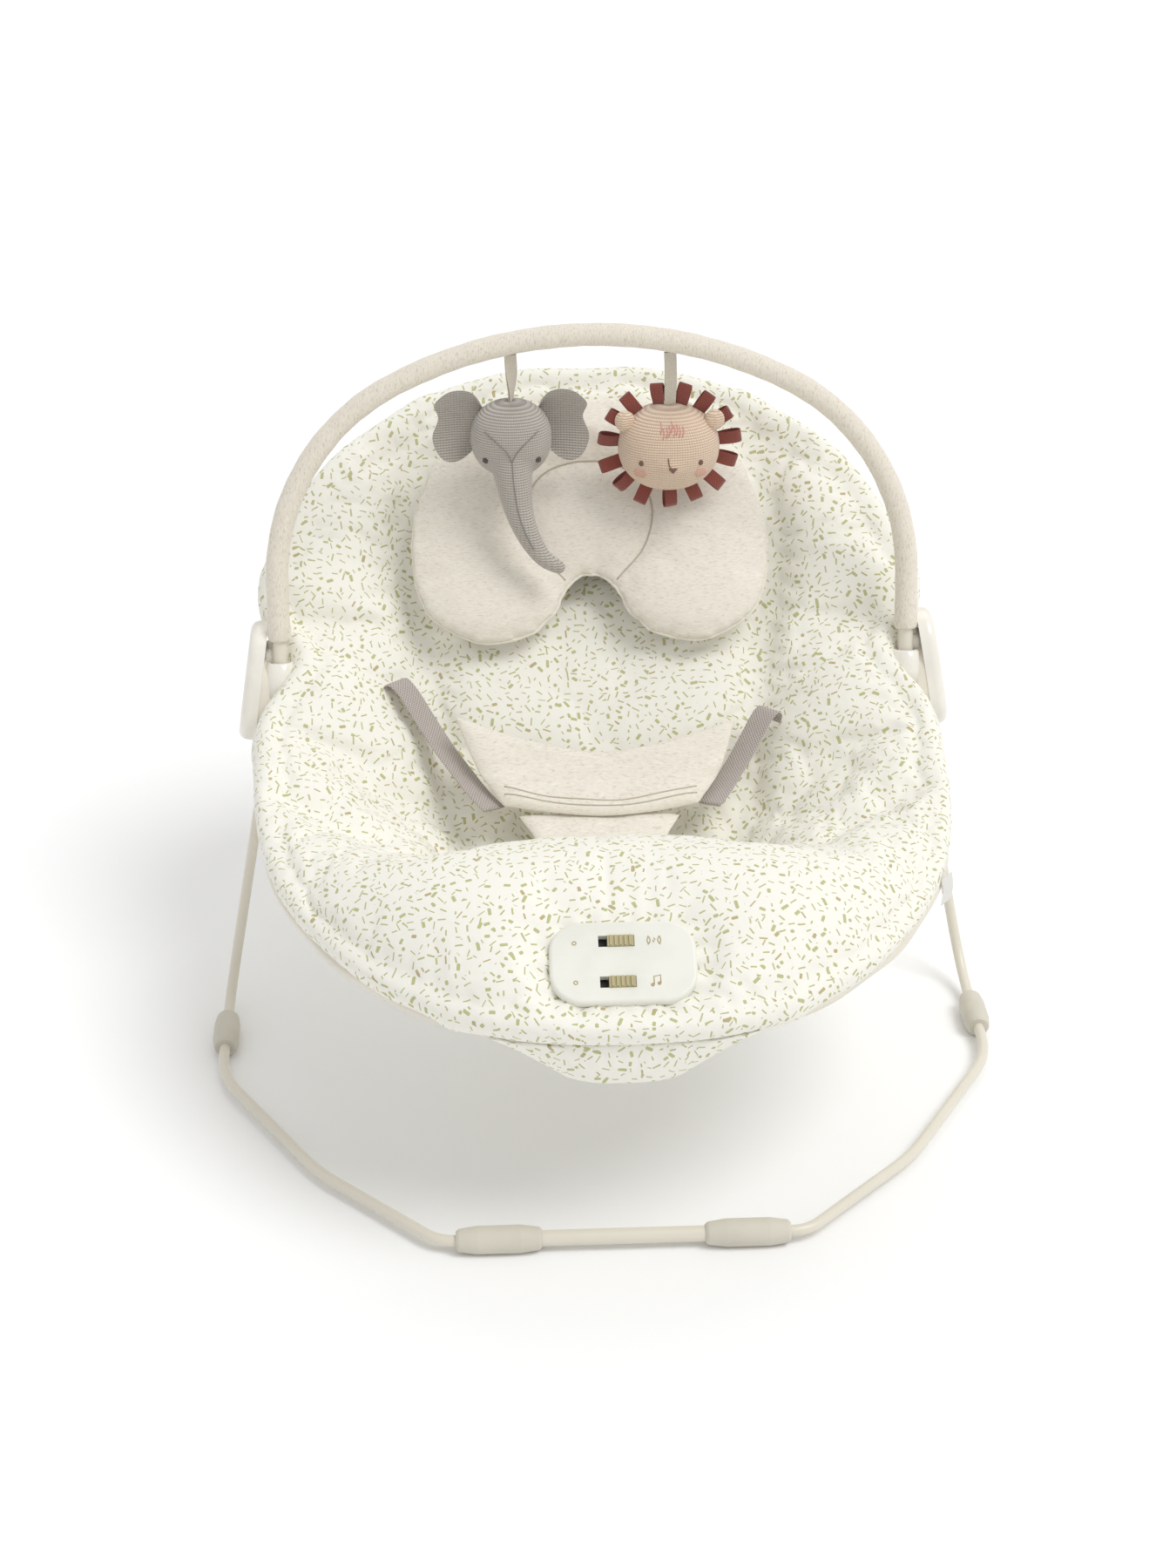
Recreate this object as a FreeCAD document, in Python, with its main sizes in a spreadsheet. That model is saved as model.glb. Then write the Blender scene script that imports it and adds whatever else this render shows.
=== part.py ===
"""A baby bouncer seat: a bent wire base, a padded seat on two tube loops, a toy bar and a control unit.

Millimetres, +Z up, +X to the right of someone facing the seat's open side, +Y towards its back.
The origin is on the floor under the middle of the whole object. Places along the depth are written
from the front bar's centre line, and spot() moves them into this frame.
"""

import FreeCAD, Part
import math
import os

import Sketcher
from FreeCAD import Placement, Rotation, Vector

DIMENSIONS = {
    # frame on the floor
    "front_bar_y": -298.0,
    "wire_dia": 8.0,
    "wire_height": 9.25,
    "bar_dia": 11.0,
    "bar_wall": 1.2,
    "foot_spread": 85.5,
    "foot_length": 59.0,
    "foot_dia": 19.5,
    "foot_end_dia": 12.5,
    "sleeve_length": 42.0,
    "sleeve_end_dia": 15.0,
    "sleeve_x": 287.0,
    "sleeve_y": 270.0,
    "corner_x": 127.0,
    "corner_bend": 28.0,
    "diagonal_x": 211.0,
    "diagonal_y": 84.0,
    "side_bend": 150.0,
    "leg_bend_y": 333.0,
    "leg_bend": 48.0,
    "rear_bar_y": 600.0,
    "rear_corner_x": 182.0,
    "rear_bend": 55.0,
    # hubs
    "hub_x": 244.0,
    "hub_y": 408.0,
    "hub_z": 238.0,
    "hub_lean": 20.0,
    "hub_tilt": 9.0,
    "hub_depth": 54.0,
    "hub_height": 92.0,
    "core_height": 66.0,
    "core_thick": 22.0,
    "cap_thick": 13.0,
    "cap_wall": 2.5,
    "cap_edge": 7.0,
    "hub_screw_dia": 4.0,
    "hub_screw_pitch": 44.0,
    "leg_entry_gap": 22.0,
    # seat tubes
    "seat_tube_dia": 10.0,
    "seat_tube_wall": 1.2,
    "back_plane_angle": 45.0,
    "cover_thick": 12.0,
    "tube_clearance": 0.3,
    # toy bar
    "toy_bar_lean": 16.0,
    "toy_bar_y": 394.0,
    "toy_bar_z": 252.0,
    "toy_bar_half_width": 239.5,
    "toy_bar_top_radius": 330.0,
    "toy_bar_top_half_angle": 27.0,
    "toy_bar_shoulder_radius": 164.0,
    "toy_bar_straight": 44.5,
    "toy_bar_stub": 25.5,
    "toy_bar_depth": 18.0,
    "toy_bar_dia": 11.4,
    "toy_bar_bore": 8.4,
    "padding_dia": 17.2,
    "padding_gap": 0.3,
    "collar_dia": 17.0,
    "collar_rise": 3.0,
    # toys
    "toy_spread": 60.0,
    "ribbon_width": 10.0,
    "ribbon_thick": 2.0,
    "elephant_strap": 33.0,
    "elephant_head_width": 62.0,
    "elephant_head_depth": 54.0,
    "elephant_head_height": 60.0,
    "lion_strap": 38.0,
    "lion_width": 78.0,
    "lion_depth": 62.0,
    "lion_height": 68.0,
    "mane_loops": 15,
    "mane_length": 14.0,
    "mane_width": 10.7,
    # control unit
    "panel_y": 25.0,
    "panel_z": 213.0,
    "panel_slope": 32.0,
    "panel_width": 98.0,
    "panel_length": 60.0,
    "panel_corner": 22.0,
    "panel_thick": 3.0,
    "panel_rise": 2.5,
    "housing_margin": 4.0,
    "housing_wall": 2.0,
    "housing_deep": 36.0,
    "slot_offset_x": -4.0,
    "slot_offset_y": 15.0,
    "slot_length": 24.0,
    "slot_width": 8.3,
    "slider_length": 17.6,
    "slider_width": 7.9,
    "slider_rise": 2.2,
    "slider_travel": 5.6,
    "cell_dia": 14.3,
    "cell_length": 50.0,
    "board_thick": 1.6,
    "motor_dia": 12.0,
    "motor_length": 20.0,
    "shaft_dia": 2.0,
    "weight_dia": 11.0,
    "weight_length": 6.0,
    "speaker_dia": 28.0,
    "speaker_deep": 5.5,
    # harness
    "webbing_width": 25.0,
    "webbing_thick": 1.8,
}


class Size:
    """A number together with the sheet formula that gives it, so that a feature can be bound to the sheet."""

    def __init__(self, value, formula):
        self.value = float(value)
        self.formula = formula

    def __add__(self, other):
        other = size(other)
        return Size(self.value + other.value, f"({self.formula} + {other.formula})")

    def __sub__(self, other):
        other = size(other)
        return Size(self.value - other.value, f"({self.formula} - {other.formula})")

    def __mul__(self, other):
        other = size(other)
        return Size(self.value * other.value, f"({self.formula} * {other.formula})")

    def __truediv__(self, other):
        other = size(other)
        return Size(self.value / other.value, f"({self.formula} / {other.formula})")

    def __neg__(self):
        return Size(-self.value, f"(0 - {self.formula})")

    __radd__ = __add__
    __rmul__ = __mul__

    def __rsub__(self, other):
        return size(other) - self


def size(number):
    """A plain number as a Size, or a Size as it is."""
    return number if isinstance(number, Size) else Size(number, f"({number})")


class Sheet:
    """The spreadsheet of driving dimensions; sheet.wire_dia is that cell as a Size."""

    def __init__(self, document):
        self.object = document.addObject("Spreadsheet::Sheet", "dims")
        for row, (alias, number) in enumerate(DIMENSIONS.items(), start=1):
            self.object.set(f"A{row}", alias)
            self.object.set(f"B{row}", str(number))
            self.object.setAlias(f"B{row}", alias)
        document.recompute()

    def __getattr__(self, alias):
        return Size(getattr(self.object, alias), f"dims.{alias}")


doc = FreeCAD.newDocument("bouncer_seat")
dims = Sheet(doc)
nodes = []

SIDES = {"left": -1, "right": 1}
NUDGE = 0.05


# ---------------------------------------------------------------- helpers


def bind(obj, prop, amount):
    """Ties one property of obj to the sheet."""
    obj.setExpression(prop, size(amount).formula)


def keep(obj, name):
    """Makes obj one of the pieces that are written out, under that name."""
    obj.Label = name
    nodes.append(obj)
    return obj


def place(obj, x=0, y=0, z=0, rotation=None):
    """Puts obj at x, y, z, which stay bound to the sheet, turned by rotation."""
    x, y, z = size(x), size(y), size(z)
    obj.Placement = Placement(Vector(x.value, y.value, z.value), rotation or Rotation())
    bind(obj, "Placement.Base.x", x)
    bind(obj, "Placement.Base.y", y)
    bind(obj, "Placement.Base.z", z)
    return obj


def spot(x, y, z):
    """A point given from the front bar's centre line, as a vector in the object's own frame."""
    return Vector(size(x).value, size(y).value + dims.front_bar_y.value, size(z).value)


def body(name):
    return doc.addObject("PartDesign::Body", name)


def plane_sketch(owner, name, role, lift=0):
    """A sketch on one of its body's own origin planes, raised by lift along that plane's normal."""
    sketch = owner.newObject("Sketcher::SketchObject", name)
    plane = next(f for f in owner.Origin.OriginFeatures if f.Role == role)
    sketch.AttachmentSupport = [(plane, "")]
    sketch.MapMode = "FlatFace"
    lift = size(lift)
    if lift.value:
        bind(sketch, "AttachmentOffset.Base.z", lift)
    return sketch


def fix_point(sketch, geometry, end, x, y):
    """Ties one end of a sketch line or arc, or a circle's centre, to x, y measured from the sketch's origin."""
    for kind, axis, amount in (("DistanceX", -2, size(x)), ("DistanceY", -1, size(y))):
        if amount.value == 0:
            sketch.addConstraint(Sketcher.Constraint("PointOnObject", geometry, end, axis))
            continue
        index = sketch.addConstraint(Sketcher.Constraint(kind, -1, 1, geometry, end, amount.value))
        bind(sketch, f"Constraints[{index}]", amount)


def draw_circle(sketch, radius, x=0, y=0):
    radius = size(radius)
    centre = Vector(size(x).value, size(y).value, 0)
    circle = sketch.addGeometry(Part.Circle(centre, Vector(0, 0, 1), radius.value), False)
    fix_point(sketch, circle, 3, x, y)
    index = sketch.addConstraint(Sketcher.Constraint("Radius", circle, radius.value))
    bind(sketch, f"Constraints[{index}]", radius)


def draw_polygon(sketch, corners):
    """A closed outline of straight lines through corners, each corner an (x, y) pair of sizes."""
    points = [Vector(size(x).value, size(y).value, 0) for x, y in corners]
    lines = []
    for start, end in zip(points, points[1:] + points[:1]):
        lines.append(sketch.addGeometry(Part.LineSegment(start, end), False))
    for line, following in zip(lines, lines[1:] + lines[:1]):
        sketch.addConstraint(Sketcher.Constraint("Coincident", line, 2, following, 1))
    for line, (x, y) in zip(lines, corners):
        fix_point(sketch, line, 1, x, y)


def draw_box(sketch, width, length, x=0, y=0):
    """A rectangle of that width and length about x, y."""
    x, y, half_w, half_l = size(x), size(y), size(width) / 2, size(length) / 2
    draw_polygon(sketch, [
        (x - half_w, y - half_l), (x + half_w, y - half_l),
        (x + half_w, y + half_l), (x - half_w, y + half_l),
    ])


def pad(owner, name, sketch, length, reverse=False):
    feature = owner.newObject("PartDesign::Pad", name)
    feature.Profile = sketch
    feature.Reversed = reverse
    bind(feature, "Length", length)
    doc.recompute()
    return feature


def pocket(owner, name, sketch, length, reverse=False):
    """Cuts sketch into its body, and stops if nothing was cut."""
    before = owner.Shape.Volume
    feature = owner.newObject("PartDesign::Pocket", name)
    feature.Profile = sketch
    feature.Reversed = reverse
    bind(feature, "Length", length)
    doc.recompute()
    if owner.Shape.Volume > before - 0.01:
        raise ValueError(f"{owner.Label}: {name} cuts nothing")
    return feature


def revolve(owner, name, sketch, axis):
    feature = owner.newObject("PartDesign::Revolution", name)
    feature.Profile = sketch
    feature.ReferenceAxis = (sketch, [axis])
    feature.Angle = 360
    doc.recompute()
    return feature


def round_edges(owner, name, base, radius, chosen):
    """Rounds the edges of base for which chosen(edge) is true."""
    names = [f"Edge{i}" for i, edge in enumerate(base.Shape.Edges, start=1) if chosen(edge)]
    feature = owner.newObject("PartDesign::Fillet", name)
    feature.Base = (base, names)
    bind(feature, "Radius", radius)
    doc.recompute()
    return feature


def along(axis):
    """A test for straight edges that run along axis."""

    def test(edge):
        ends = [v.Point for v in edge.Vertexes]
        if len(ends) != 2:
            return False
        run = ends[1] - ends[0]
        return run.Length > 0.01 and run.cross(axis).Length < 0.001 * run.Length
    return test


def at_level(axis, level):
    """A test for edges that lie wholly at that level along axis."""

    def test(edge):
        box = edge.BoundBox
        low = Vector(box.XMin, box.YMin, box.ZMin).dot(axis)
        high = Vector(box.XMax, box.YMax, box.ZMax).dot(axis)
        return abs(low - level) < 0.01 and abs(high - level) < 0.01
    return test


def group(name, pieces):
    """Several alike pieces kept as one node of separate solids."""
    together = doc.addObject("Part::Compound", name)
    together.Links = pieces
    doc.recompute()
    return keep(together, name)


def feature(name, shape):
    """A piece whose shape is worked out here from the sheet."""
    obj = doc.addObject("Part::Feature", name)
    obj.Shape = shape
    obj.Placement = Placement()
    return obj


def cut(name, base, tools):
    """base less each of tools, as Part booleans."""
    result = base
    for number, tool in enumerate(tools, start=1):
        step = doc.addObject("Part::Cut", f"{name}_cut{number}")
        step.Base = result
        step.Tool = tool
        result = step
    doc.recompute()
    return result


def bent_path(points, radii):
    """A wire of straight runs through points, with a tangent arc of the given radius at each inner point."""
    edges = []
    start = points[0]
    for before, corner, after, radius in zip(points, points[1:], points[2:], radii):
        to_start = (before - corner).normalize()
        to_end = (after - corner).normalize()
        half = to_start.getAngle(to_end) / 2
        setback = radius / math.tan(half)
        first = corner + to_start * setback
        last = corner + to_end * setback
        middle_way = (to_start + to_end).normalize()
        middle = corner + middle_way * (radius / math.sin(half) - radius)
        edges.append(Part.LineSegment(start, first).toShape())
        edges.append(Part.Arc(first, middle, last).toShape())
        start = last
    edges.append(Part.LineSegment(start, points[-1]).toShape())
    return Part.Wire(edges)


def swept(path, radius):
    """A round bar of that radius along path."""
    first = path.OrderedEdges[0]
    start = first.valueAt(first.FirstParameter)
    direction = first.tangentAt(first.FirstParameter)
    ring = Part.Wire([Part.Circle(start, direction, radius).toShape()])
    return path.makePipeShell([ring], True, False)


def rod(start, end, radius, extra=0.0):
    """A straight round solid from start to end, longer by extra beyond each."""
    way = (end - start).normalize()
    return Part.makeCylinder(radius, (end - start).Length + 2 * extra, start - way * extra, way)


def mirrored(points, side):
    """Points of the right-hand side, mirrored for the left."""
    return [Vector(p.x * side, p.y, p.z) for p in points]


# ---------------------------------------------------------------- frame on the floor


def barrel(name, length, diameter, end_diameter, along_y, x, y):
    """A rubber sleeve with a crowned outside, a bore for the wire and a flat sole."""
    piece = body(name)
    profile = plane_sketch(piece, f"{name}_profile", "XY_Plane")
    bore = dims.wire_dia / 2 + NUDGE
    crown = (diameter - end_diameter) / 4 + end_diameter / 2
    draw_polygon(profile, [
        (-length / 2, bore), (length / 2, bore), (length / 2, end_diameter / 2),
        (length / 2 - 2, crown), (length / 4, diameter / 2),
        (-length / 4, diameter / 2), (2 - length / 2, crown), (-length / 2, end_diameter / 2),
    ])
    turned = revolve(piece, f"{name}_barrel", profile, "H_Axis")
    if end_diameter.value < diameter.value:
        round_edges(piece, f"{name}_round", turned, (diameter - end_diameter) / 4,
                    lambda edge: edge_radius(edge) > end_diameter.value / 2 + 0.1)
    sole = plane_sketch(piece, f"{name}_sole", "XY_Plane", -dims.wire_height)
    draw_box(sole, length * 2, diameter * 2)
    pocket(piece, f"{name}_flat", sole, diameter)
    turn = Rotation(Vector(0, 0, 1), 90 if along_y else 0)
    return place(keep(piece, name), x, y + dims.front_bar_y, dims.wire_height, turn)


def edge_radius(edge):
    """The radius of a round edge, or 0 for any other."""
    return getattr(edge.Curve, "Radius", 0)


def floor_bar(name, y):
    """The straight tube between two feet, which joins the left and right wires."""
    piece = body(name)
    section = plane_sketch(piece, f"{name}_section", "YZ_Plane", -floor_bar_half())
    draw_circle(section, dims.bar_dia / 2)
    draw_circle(section, dims.bar_dia / 2 - dims.bar_wall)
    pad(piece, f"{name}_tube", section, floor_bar_half() * 2)
    return place(keep(piece, name), 0, y + dims.front_bar_y, dims.wire_height)


def floor_bar_half():
    """Half the length of a bar that fits between two feet."""
    return dims.foot_spread - dims.foot_length / 2 - NUDGE


def wire(name, side, points, radii):
    """A bent steel rod of the base."""
    path = bent_path(mirrored(points, side), radii)
    return keep(feature(name, swept(path, dims.wire_dia.value / 2)), name)


def leg_top(back):
    """Where a leg ends inside its hub; back is 1 for the rear leg and -1 for the front leg."""
    half = dims.leg_entry_gap / 2
    return hub_point(0, half.value * back, 6 - dims.core_height.value / 2)


def hub_rotation(side):
    lean = Rotation(Vector(1, 0, 0), -dims.hub_lean.value)
    tilt = Rotation(Vector(0, 1, 0), -dims.hub_tilt.value * side)
    return tilt.multiply(lean)


def hub_point(x, y, z, side=1):
    """A point of the hub's own frame, in the object's frame: x outwards, y back and z up the hub."""
    centre = spot(dims.hub_x * side, dims.hub_y, dims.hub_z)
    return centre + hub_rotation(side).multVec(Vector(x * side, y, z))


def make_base():
    inner_end = dims.foot_spread.value - dims.foot_length.value / 2 - 12
    level = dims.wire_height
    for end, y in (("front", size(0)), ("rear", dims.rear_bar_y)):
        floor_bar(f"{end}_bar", y)
        for word, side in SIDES.items():
            barrel(f"{end}_foot_{word}", dims.foot_length, dims.foot_dia, dims.foot_end_dia, False,
                   dims.foot_spread * side, y)
    for word, side in SIDES.items():
        barrel(f"side_sleeve_{word}", dims.sleeve_length, dims.foot_dia, dims.sleeve_end_dia, True,
               dims.sleeve_x * side, dims.sleeve_y)
        wire(f"front_loop_{word}", side, [
            spot(inner_end, 0, level),
            spot(dims.corner_x, 0, level),
            spot(dims.diagonal_x, dims.diagonal_y, level),
            spot(dims.sleeve_x, dims.sleeve_y - dims.sleeve_length * 1.4, level),
            spot(dims.sleeve_x, dims.sleeve_y - NUDGE, level),
        ], [dims.corner_bend.value, dims.side_bend.value, dims.side_bend.value * 0.6])
        wire(f"front_leg_{word}", side, [
            spot(dims.sleeve_x, dims.sleeve_y + NUDGE, level),
            spot(dims.sleeve_x, dims.leg_bend_y, level),
            leg_top(-1),
        ], [dims.leg_bend.value])
        wire(f"rear_leg_{word}", side, [
            spot(inner_end, dims.rear_bar_y, level),
            spot(dims.rear_corner_x, dims.rear_bar_y, level),
            leg_top(1),
        ], [dims.rear_bend.value])


# ---------------------------------------------------------------- seat tubes


def back_point(x, rise):
    """A point of the back loop's plane, which leans back through the hubs; rise is measured up the plane."""
    lean = math.radians(dims.back_plane_angle.value)
    return spot(x, dims.hub_y.value + rise * math.cos(lean), dims.hub_z.value + rise * math.sin(lean))


def seat_front_points():
    """The front loop's corners on the right, from the hub to the middle of the front edge."""
    return [
        hub_point(0, -11, -16),
        spot(249, 270, 208),
        spot(236, 165, 192),
        spot(192, 85, 182),
        spot(118, 8, 177),
        spot(0, -10, 176),
    ]


def seat_back_points():
    """The back loop's corners on the right, from the hub to the middle of the top edge."""
    return [
        hub_point(-1, 8, 12),
        back_point(249, 75),
        back_point(222, 150),
        back_point(150, 219),
        back_point(60, 247),
        back_point(0, 247),
    ]


def seat_tube(name, right, radii):
    """A tube loop from the left hub to the right hub, given its right-hand corners and bend radii."""
    left = [Vector(-p.x, p.y, p.z) for p in right]
    points = left[:-1] + [right[-1]] + right[-2::-1]
    if abs(right[-1].y - right[-2].y) < NUDGE:
        points = left[:-1] + right[-2::-1]
        all_radii = radii + radii[::-1]
    else:
        all_radii = radii[:-1] + [radii[-1]] + radii[-2::-1]
    path = bent_path(points, all_radii)
    radius = dims.seat_tube_dia.value / 2
    outer = swept(path, radius)
    inner = swept(path, radius - dims.seat_tube_wall.value)
    return keep(feature(name, outer.cut(inner)), name)


def make_seat_tubes():
    seat_tube("seat_front_tube", seat_front_points(), [260, 200, 150, 140, 500])
    seat_tube("seat_back_tube", seat_back_points(), [110, 130, 130, 130])


# ---------------------------------------------------------------- hubs


def hub_block(name, side, depth, height, thick, middle, inner_x):
    """A pad with rounded ends in the hub's own frame, from inner_x outwards, its middle raised by middle."""
    piece = body(name)
    outline = plane_sketch(piece, f"{name}_outline", "YZ_Plane", inner_x * side)
    draw_box(outline, depth, height, 0, middle)
    block = pad(piece, f"{name}_block", outline, thick, reverse=side < 0)
    round_edges(piece, f"{name}_ends", block, depth / 2 - 0.5, along(Vector(1, 0, 0)))
    return piece


def hub_screw_heights():
    half = dims.hub_screw_pitch / 2
    return (-half, half - 10)


def socket_axis():
    """The direction in which the toy bar pulls out of its sockets."""
    lean = math.radians(dims.toy_bar_lean.value)
    return Vector(0, math.sin(lean), math.cos(lean))


def bar_point(x, rise):
    """A point of the toy bar's leaning plane; rise is measured up the plane from the collars' tops."""
    return spot(x, dims.toy_bar_y, dims.toy_bar_z) + socket_axis() * size(rise).value


def make_hub(word, side):
    core_middle = (dims.core_height - dims.hub_height) / 2 + 4
    core = hub_block(f"hub_core_{word}_block", side, dims.hub_depth - 1, dims.core_height, dims.core_thick,
                     core_middle, -dims.core_thick / 2)
    cap = hub_block(f"hub_cap_{word}", side, dims.hub_depth, dims.hub_height, dims.cap_thick, 0,
                    dims.core_thick / 2 + NUDGE)
    outer_level = (dims.core_thick.value / 2 + NUDGE + dims.cap_thick.value) * side
    round_edges(cap, f"hub_cap_{word}_edge", cap.Tip, dims.cap_edge, at_level(Vector(1, 0, 0), outer_level))
    hollow = plane_sketch(cap, f"hub_cap_{word}_hollow", "YZ_Plane", (dims.core_thick / 2 + NUDGE) * side)
    draw_box(hollow, dims.hub_depth - dims.cap_edge * 2, dims.hub_height - dims.cap_edge * 4, 0, 0)
    pocket(cap, f"hub_cap_{word}_inside", hollow, dims.cap_thick - dims.cap_wall, reverse=side > 0)
    for number, height in enumerate(hub_screw_heights(), start=1):
        boss = plane_sketch(cap, f"hub_cap_{word}_boss{number}", "YZ_Plane", (dims.core_thick / 2 + NUDGE) * side)
        draw_circle(boss, dims.hub_screw_dia, 0, height)
        pad(cap, f"hub_cap_{word}_post{number}", boss, dims.cap_thick - dims.cap_wall / 2, reverse=side < 0)
        hole = plane_sketch(cap, f"hub_cap_{word}_hole{number}", "YZ_Plane", (dims.core_thick / 2 + NUDGE) * side)
        draw_circle(hole, dims.hub_screw_dia / 2 + NUDGE, 0, height)
        pocket(cap, f"hub_cap_{word}_thread{number}", hole, dims.cap_thick / 2 + NUDGE, reverse=side > 0)
    centre = (dims.hub_x * side, dims.hub_y + dims.front_bar_y, dims.hub_z)
    place(core, *centre, hub_rotation(side))
    place(keep(cap, f"hub_cap_{word}"), *centre, hub_rotation(side))
    tools = [feature(f"hub_core_{word}_bores", hub_bores(side))]
    keep(cut(f"hub_core_{word}", core, tools), f"hub_core_{word}")
    make_collar(word, side)


def hub_bores(side):
    """The bores in a hub's core for two legs, two seat tubes, the collar and two screws, as one solid."""
    wire_radius = dims.wire_dia.value / 2 + dims.tube_clearance.value
    tube_radius = dims.seat_tube_dia.value / 2 + NUDGE
    beyond = 60
    runs = [
        (leg_top(-1), spot(dims.sleeve_x, dims.leg_bend_y, dims.wire_height), wire_radius, True),
        (leg_top(1), spot(dims.rear_corner_x, dims.rear_bar_y, dims.wire_height), wire_radius, True),
        (seat_front_points()[0], seat_front_points()[1], tube_radius, False),
        (seat_back_points()[0], seat_back_points()[1], tube_radius, False),
    ]
    solids = []
    for start, target, radius, is_leg in runs:
        way = (target - start).normalize()
        head = dims.tube_clearance.value if is_leg else NUDGE
        solid = Part.makeCylinder(radius, beyond + head, start - way * head, way)
        solids.append(solid)
    top = bar_point(dims.toy_bar_half_width, 0)
    collar_radius = dims.collar_dia.value / 2 + NUDGE
    deep = dims.toy_bar_depth.value + dims.collar_rise.value + NUDGE
    flange = dims.collar_rise.value + NUDGE
    solids.append(Part.makeCylinder(collar_radius + 1.5, beyond, top - socket_axis() * flange, socket_axis()))
    solids.append(Part.makeCylinder(collar_radius, beyond + deep, top - socket_axis() * deep, socket_axis()))
    half = dims.core_thick.value
    for height in hub_screw_heights():
        solids.append(rod(hub_point(-half, 0, height.value), hub_point(half, 0, height.value),
                          dims.hub_screw_dia.value / 2 + NUDGE))
    fused = solids[0].multiFuse(solids[1:])
    if side < 0:
        fused = fused.mirror(Vector(0, 0, 0), Vector(1, 0, 0))
    return fused


def make_collar(word, side):
    """The ring in a hub that the toy bar's end slides into; its floor stops the bar."""
    piece = body(f"socket_collar_{word}")
    profile = plane_sketch(piece, f"socket_collar_{word}_profile", "XZ_Plane")
    outer = dims.collar_dia / 2
    bore = dims.toy_bar_dia / 2 + NUDGE
    floor = -dims.toy_bar_depth - dims.collar_rise
    draw_polygon(profile, [
        (0, floor), (outer, floor), (outer, -dims.collar_rise), (outer + 1.5, -dims.collar_rise + NUDGE),
        (outer + 1.5, size(-1)), (outer, size(0)), (bore, size(0)), (bore, -dims.toy_bar_depth - NUDGE),
        (0, -dims.toy_bar_depth - NUDGE),
    ])
    revolve(piece, f"socket_collar_{word}_ring", profile, "V_Axis")
    turn = Rotation(Vector(1, 0, 0), -dims.toy_bar_lean.value)
    place(keep(piece, f"socket_collar_{word}"), dims.toy_bar_half_width * side,
          dims.toy_bar_y + dims.front_bar_y, dims.toy_bar_z, turn)


def make_hub_screws():
    """The four screws that hold the caps to the cores, as one node."""
    radius = dims.hub_screw_dia.value / 2
    inner = dims.core_thick.value / 2
    tip = inner + dims.cap_thick.value / 2
    screws = []
    for side in SIDES.values():
        for height in hub_screw_heights():
            start = hub_point(-inner, 0, height.value, side)
            shank = rod(start, hub_point(tip, 0, height.value, side), radius)
            head = rod(hub_point(-inner - 2, 0, height.value, side), start, radius * 1.9)
            screws.append(shank.fuse(head))
    keep(feature("hub_screws", Part.makeCompound(screws)), "hub_screws")


# ---------------------------------------------------------------- padded seat


def seat_rows():
    """The cover's underside as rows from the front edge to the top of the back.

    Each row is (lean, points): lean is the slope of the row's pad in degrees, and the points run from
    the middle to the right-hand rim. The rim point lies above the tube by the tube's radius.
    """
    lift = dims.seat_tube_dia.value / 2 + dims.tube_clearance.value

    def on_front(x, y, z):
        return spot(x, y, z + lift)

    def on_back(x, rise):
        lean = math.radians(dims.back_plane_angle.value)
        return back_point(x, rise) + Vector(0, -math.sin(lean), math.cos(lean)) * lift

    return [
        (10, [spot(0, -11.7, 182), spot(62, -6, 182), on_front(112, 12, 177)]),
        (20, [spot(0, 30, 202), spot(84, 36, 202), on_front(158, 50, 180)]),
        (5, [spot(0, 84, 224), spot(108, 86, 222), on_front(196, 100, 183)]),
        (-5, [spot(0, 140, 222), spot(125, 140, 218), on_front(226, 156, 190)]),
        (-20, [spot(0, 190, 186), spot(132, 186, 196), on_front(243, 220, 201)]),
        (-5, [spot(0, 235, 136), spot(124, 240, 160), on_front(249, 290, 212.5)]),
        (15, [spot(0, 290, 126), spot(120, 305, 150), spot(240, 350, 229)]),
        (30, [spot(0, 350, 160), spot(124, 360, 184), spot(219, 396, 253)]),
        (45, [spot(0, 420, 214), spot(130, 428, 236), on_back(243, 46)]),
        (45, [spot(0, 451, 245), spot(126, 457, 265), on_back(249, 77)]),
        (45, [spot(0, 482, 276), spot(122, 486, 294), on_back(236, 108)]),
        (45, [spot(0, 540, 340), spot(92, 540, 352), on_back(196, 174)]),
        (45, [on_back(0, 247), on_back(56, 246), on_back(128, 225)]),
    ]


def seat_grid():
    """Rows of (under, over) point pairs from the left rim to the right rim."""
    grid = []
    for lean, points in seat_rows():
        angle = math.radians(lean)
        up = Vector(0, -math.sin(angle), math.cos(angle)) * dims.cover_thick.value
        left = [Vector(-p.x, p.y, p.z) for p in reversed(points[1:])]
        grid.append([(p, p + up) for p in left + points])
    return grid


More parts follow.
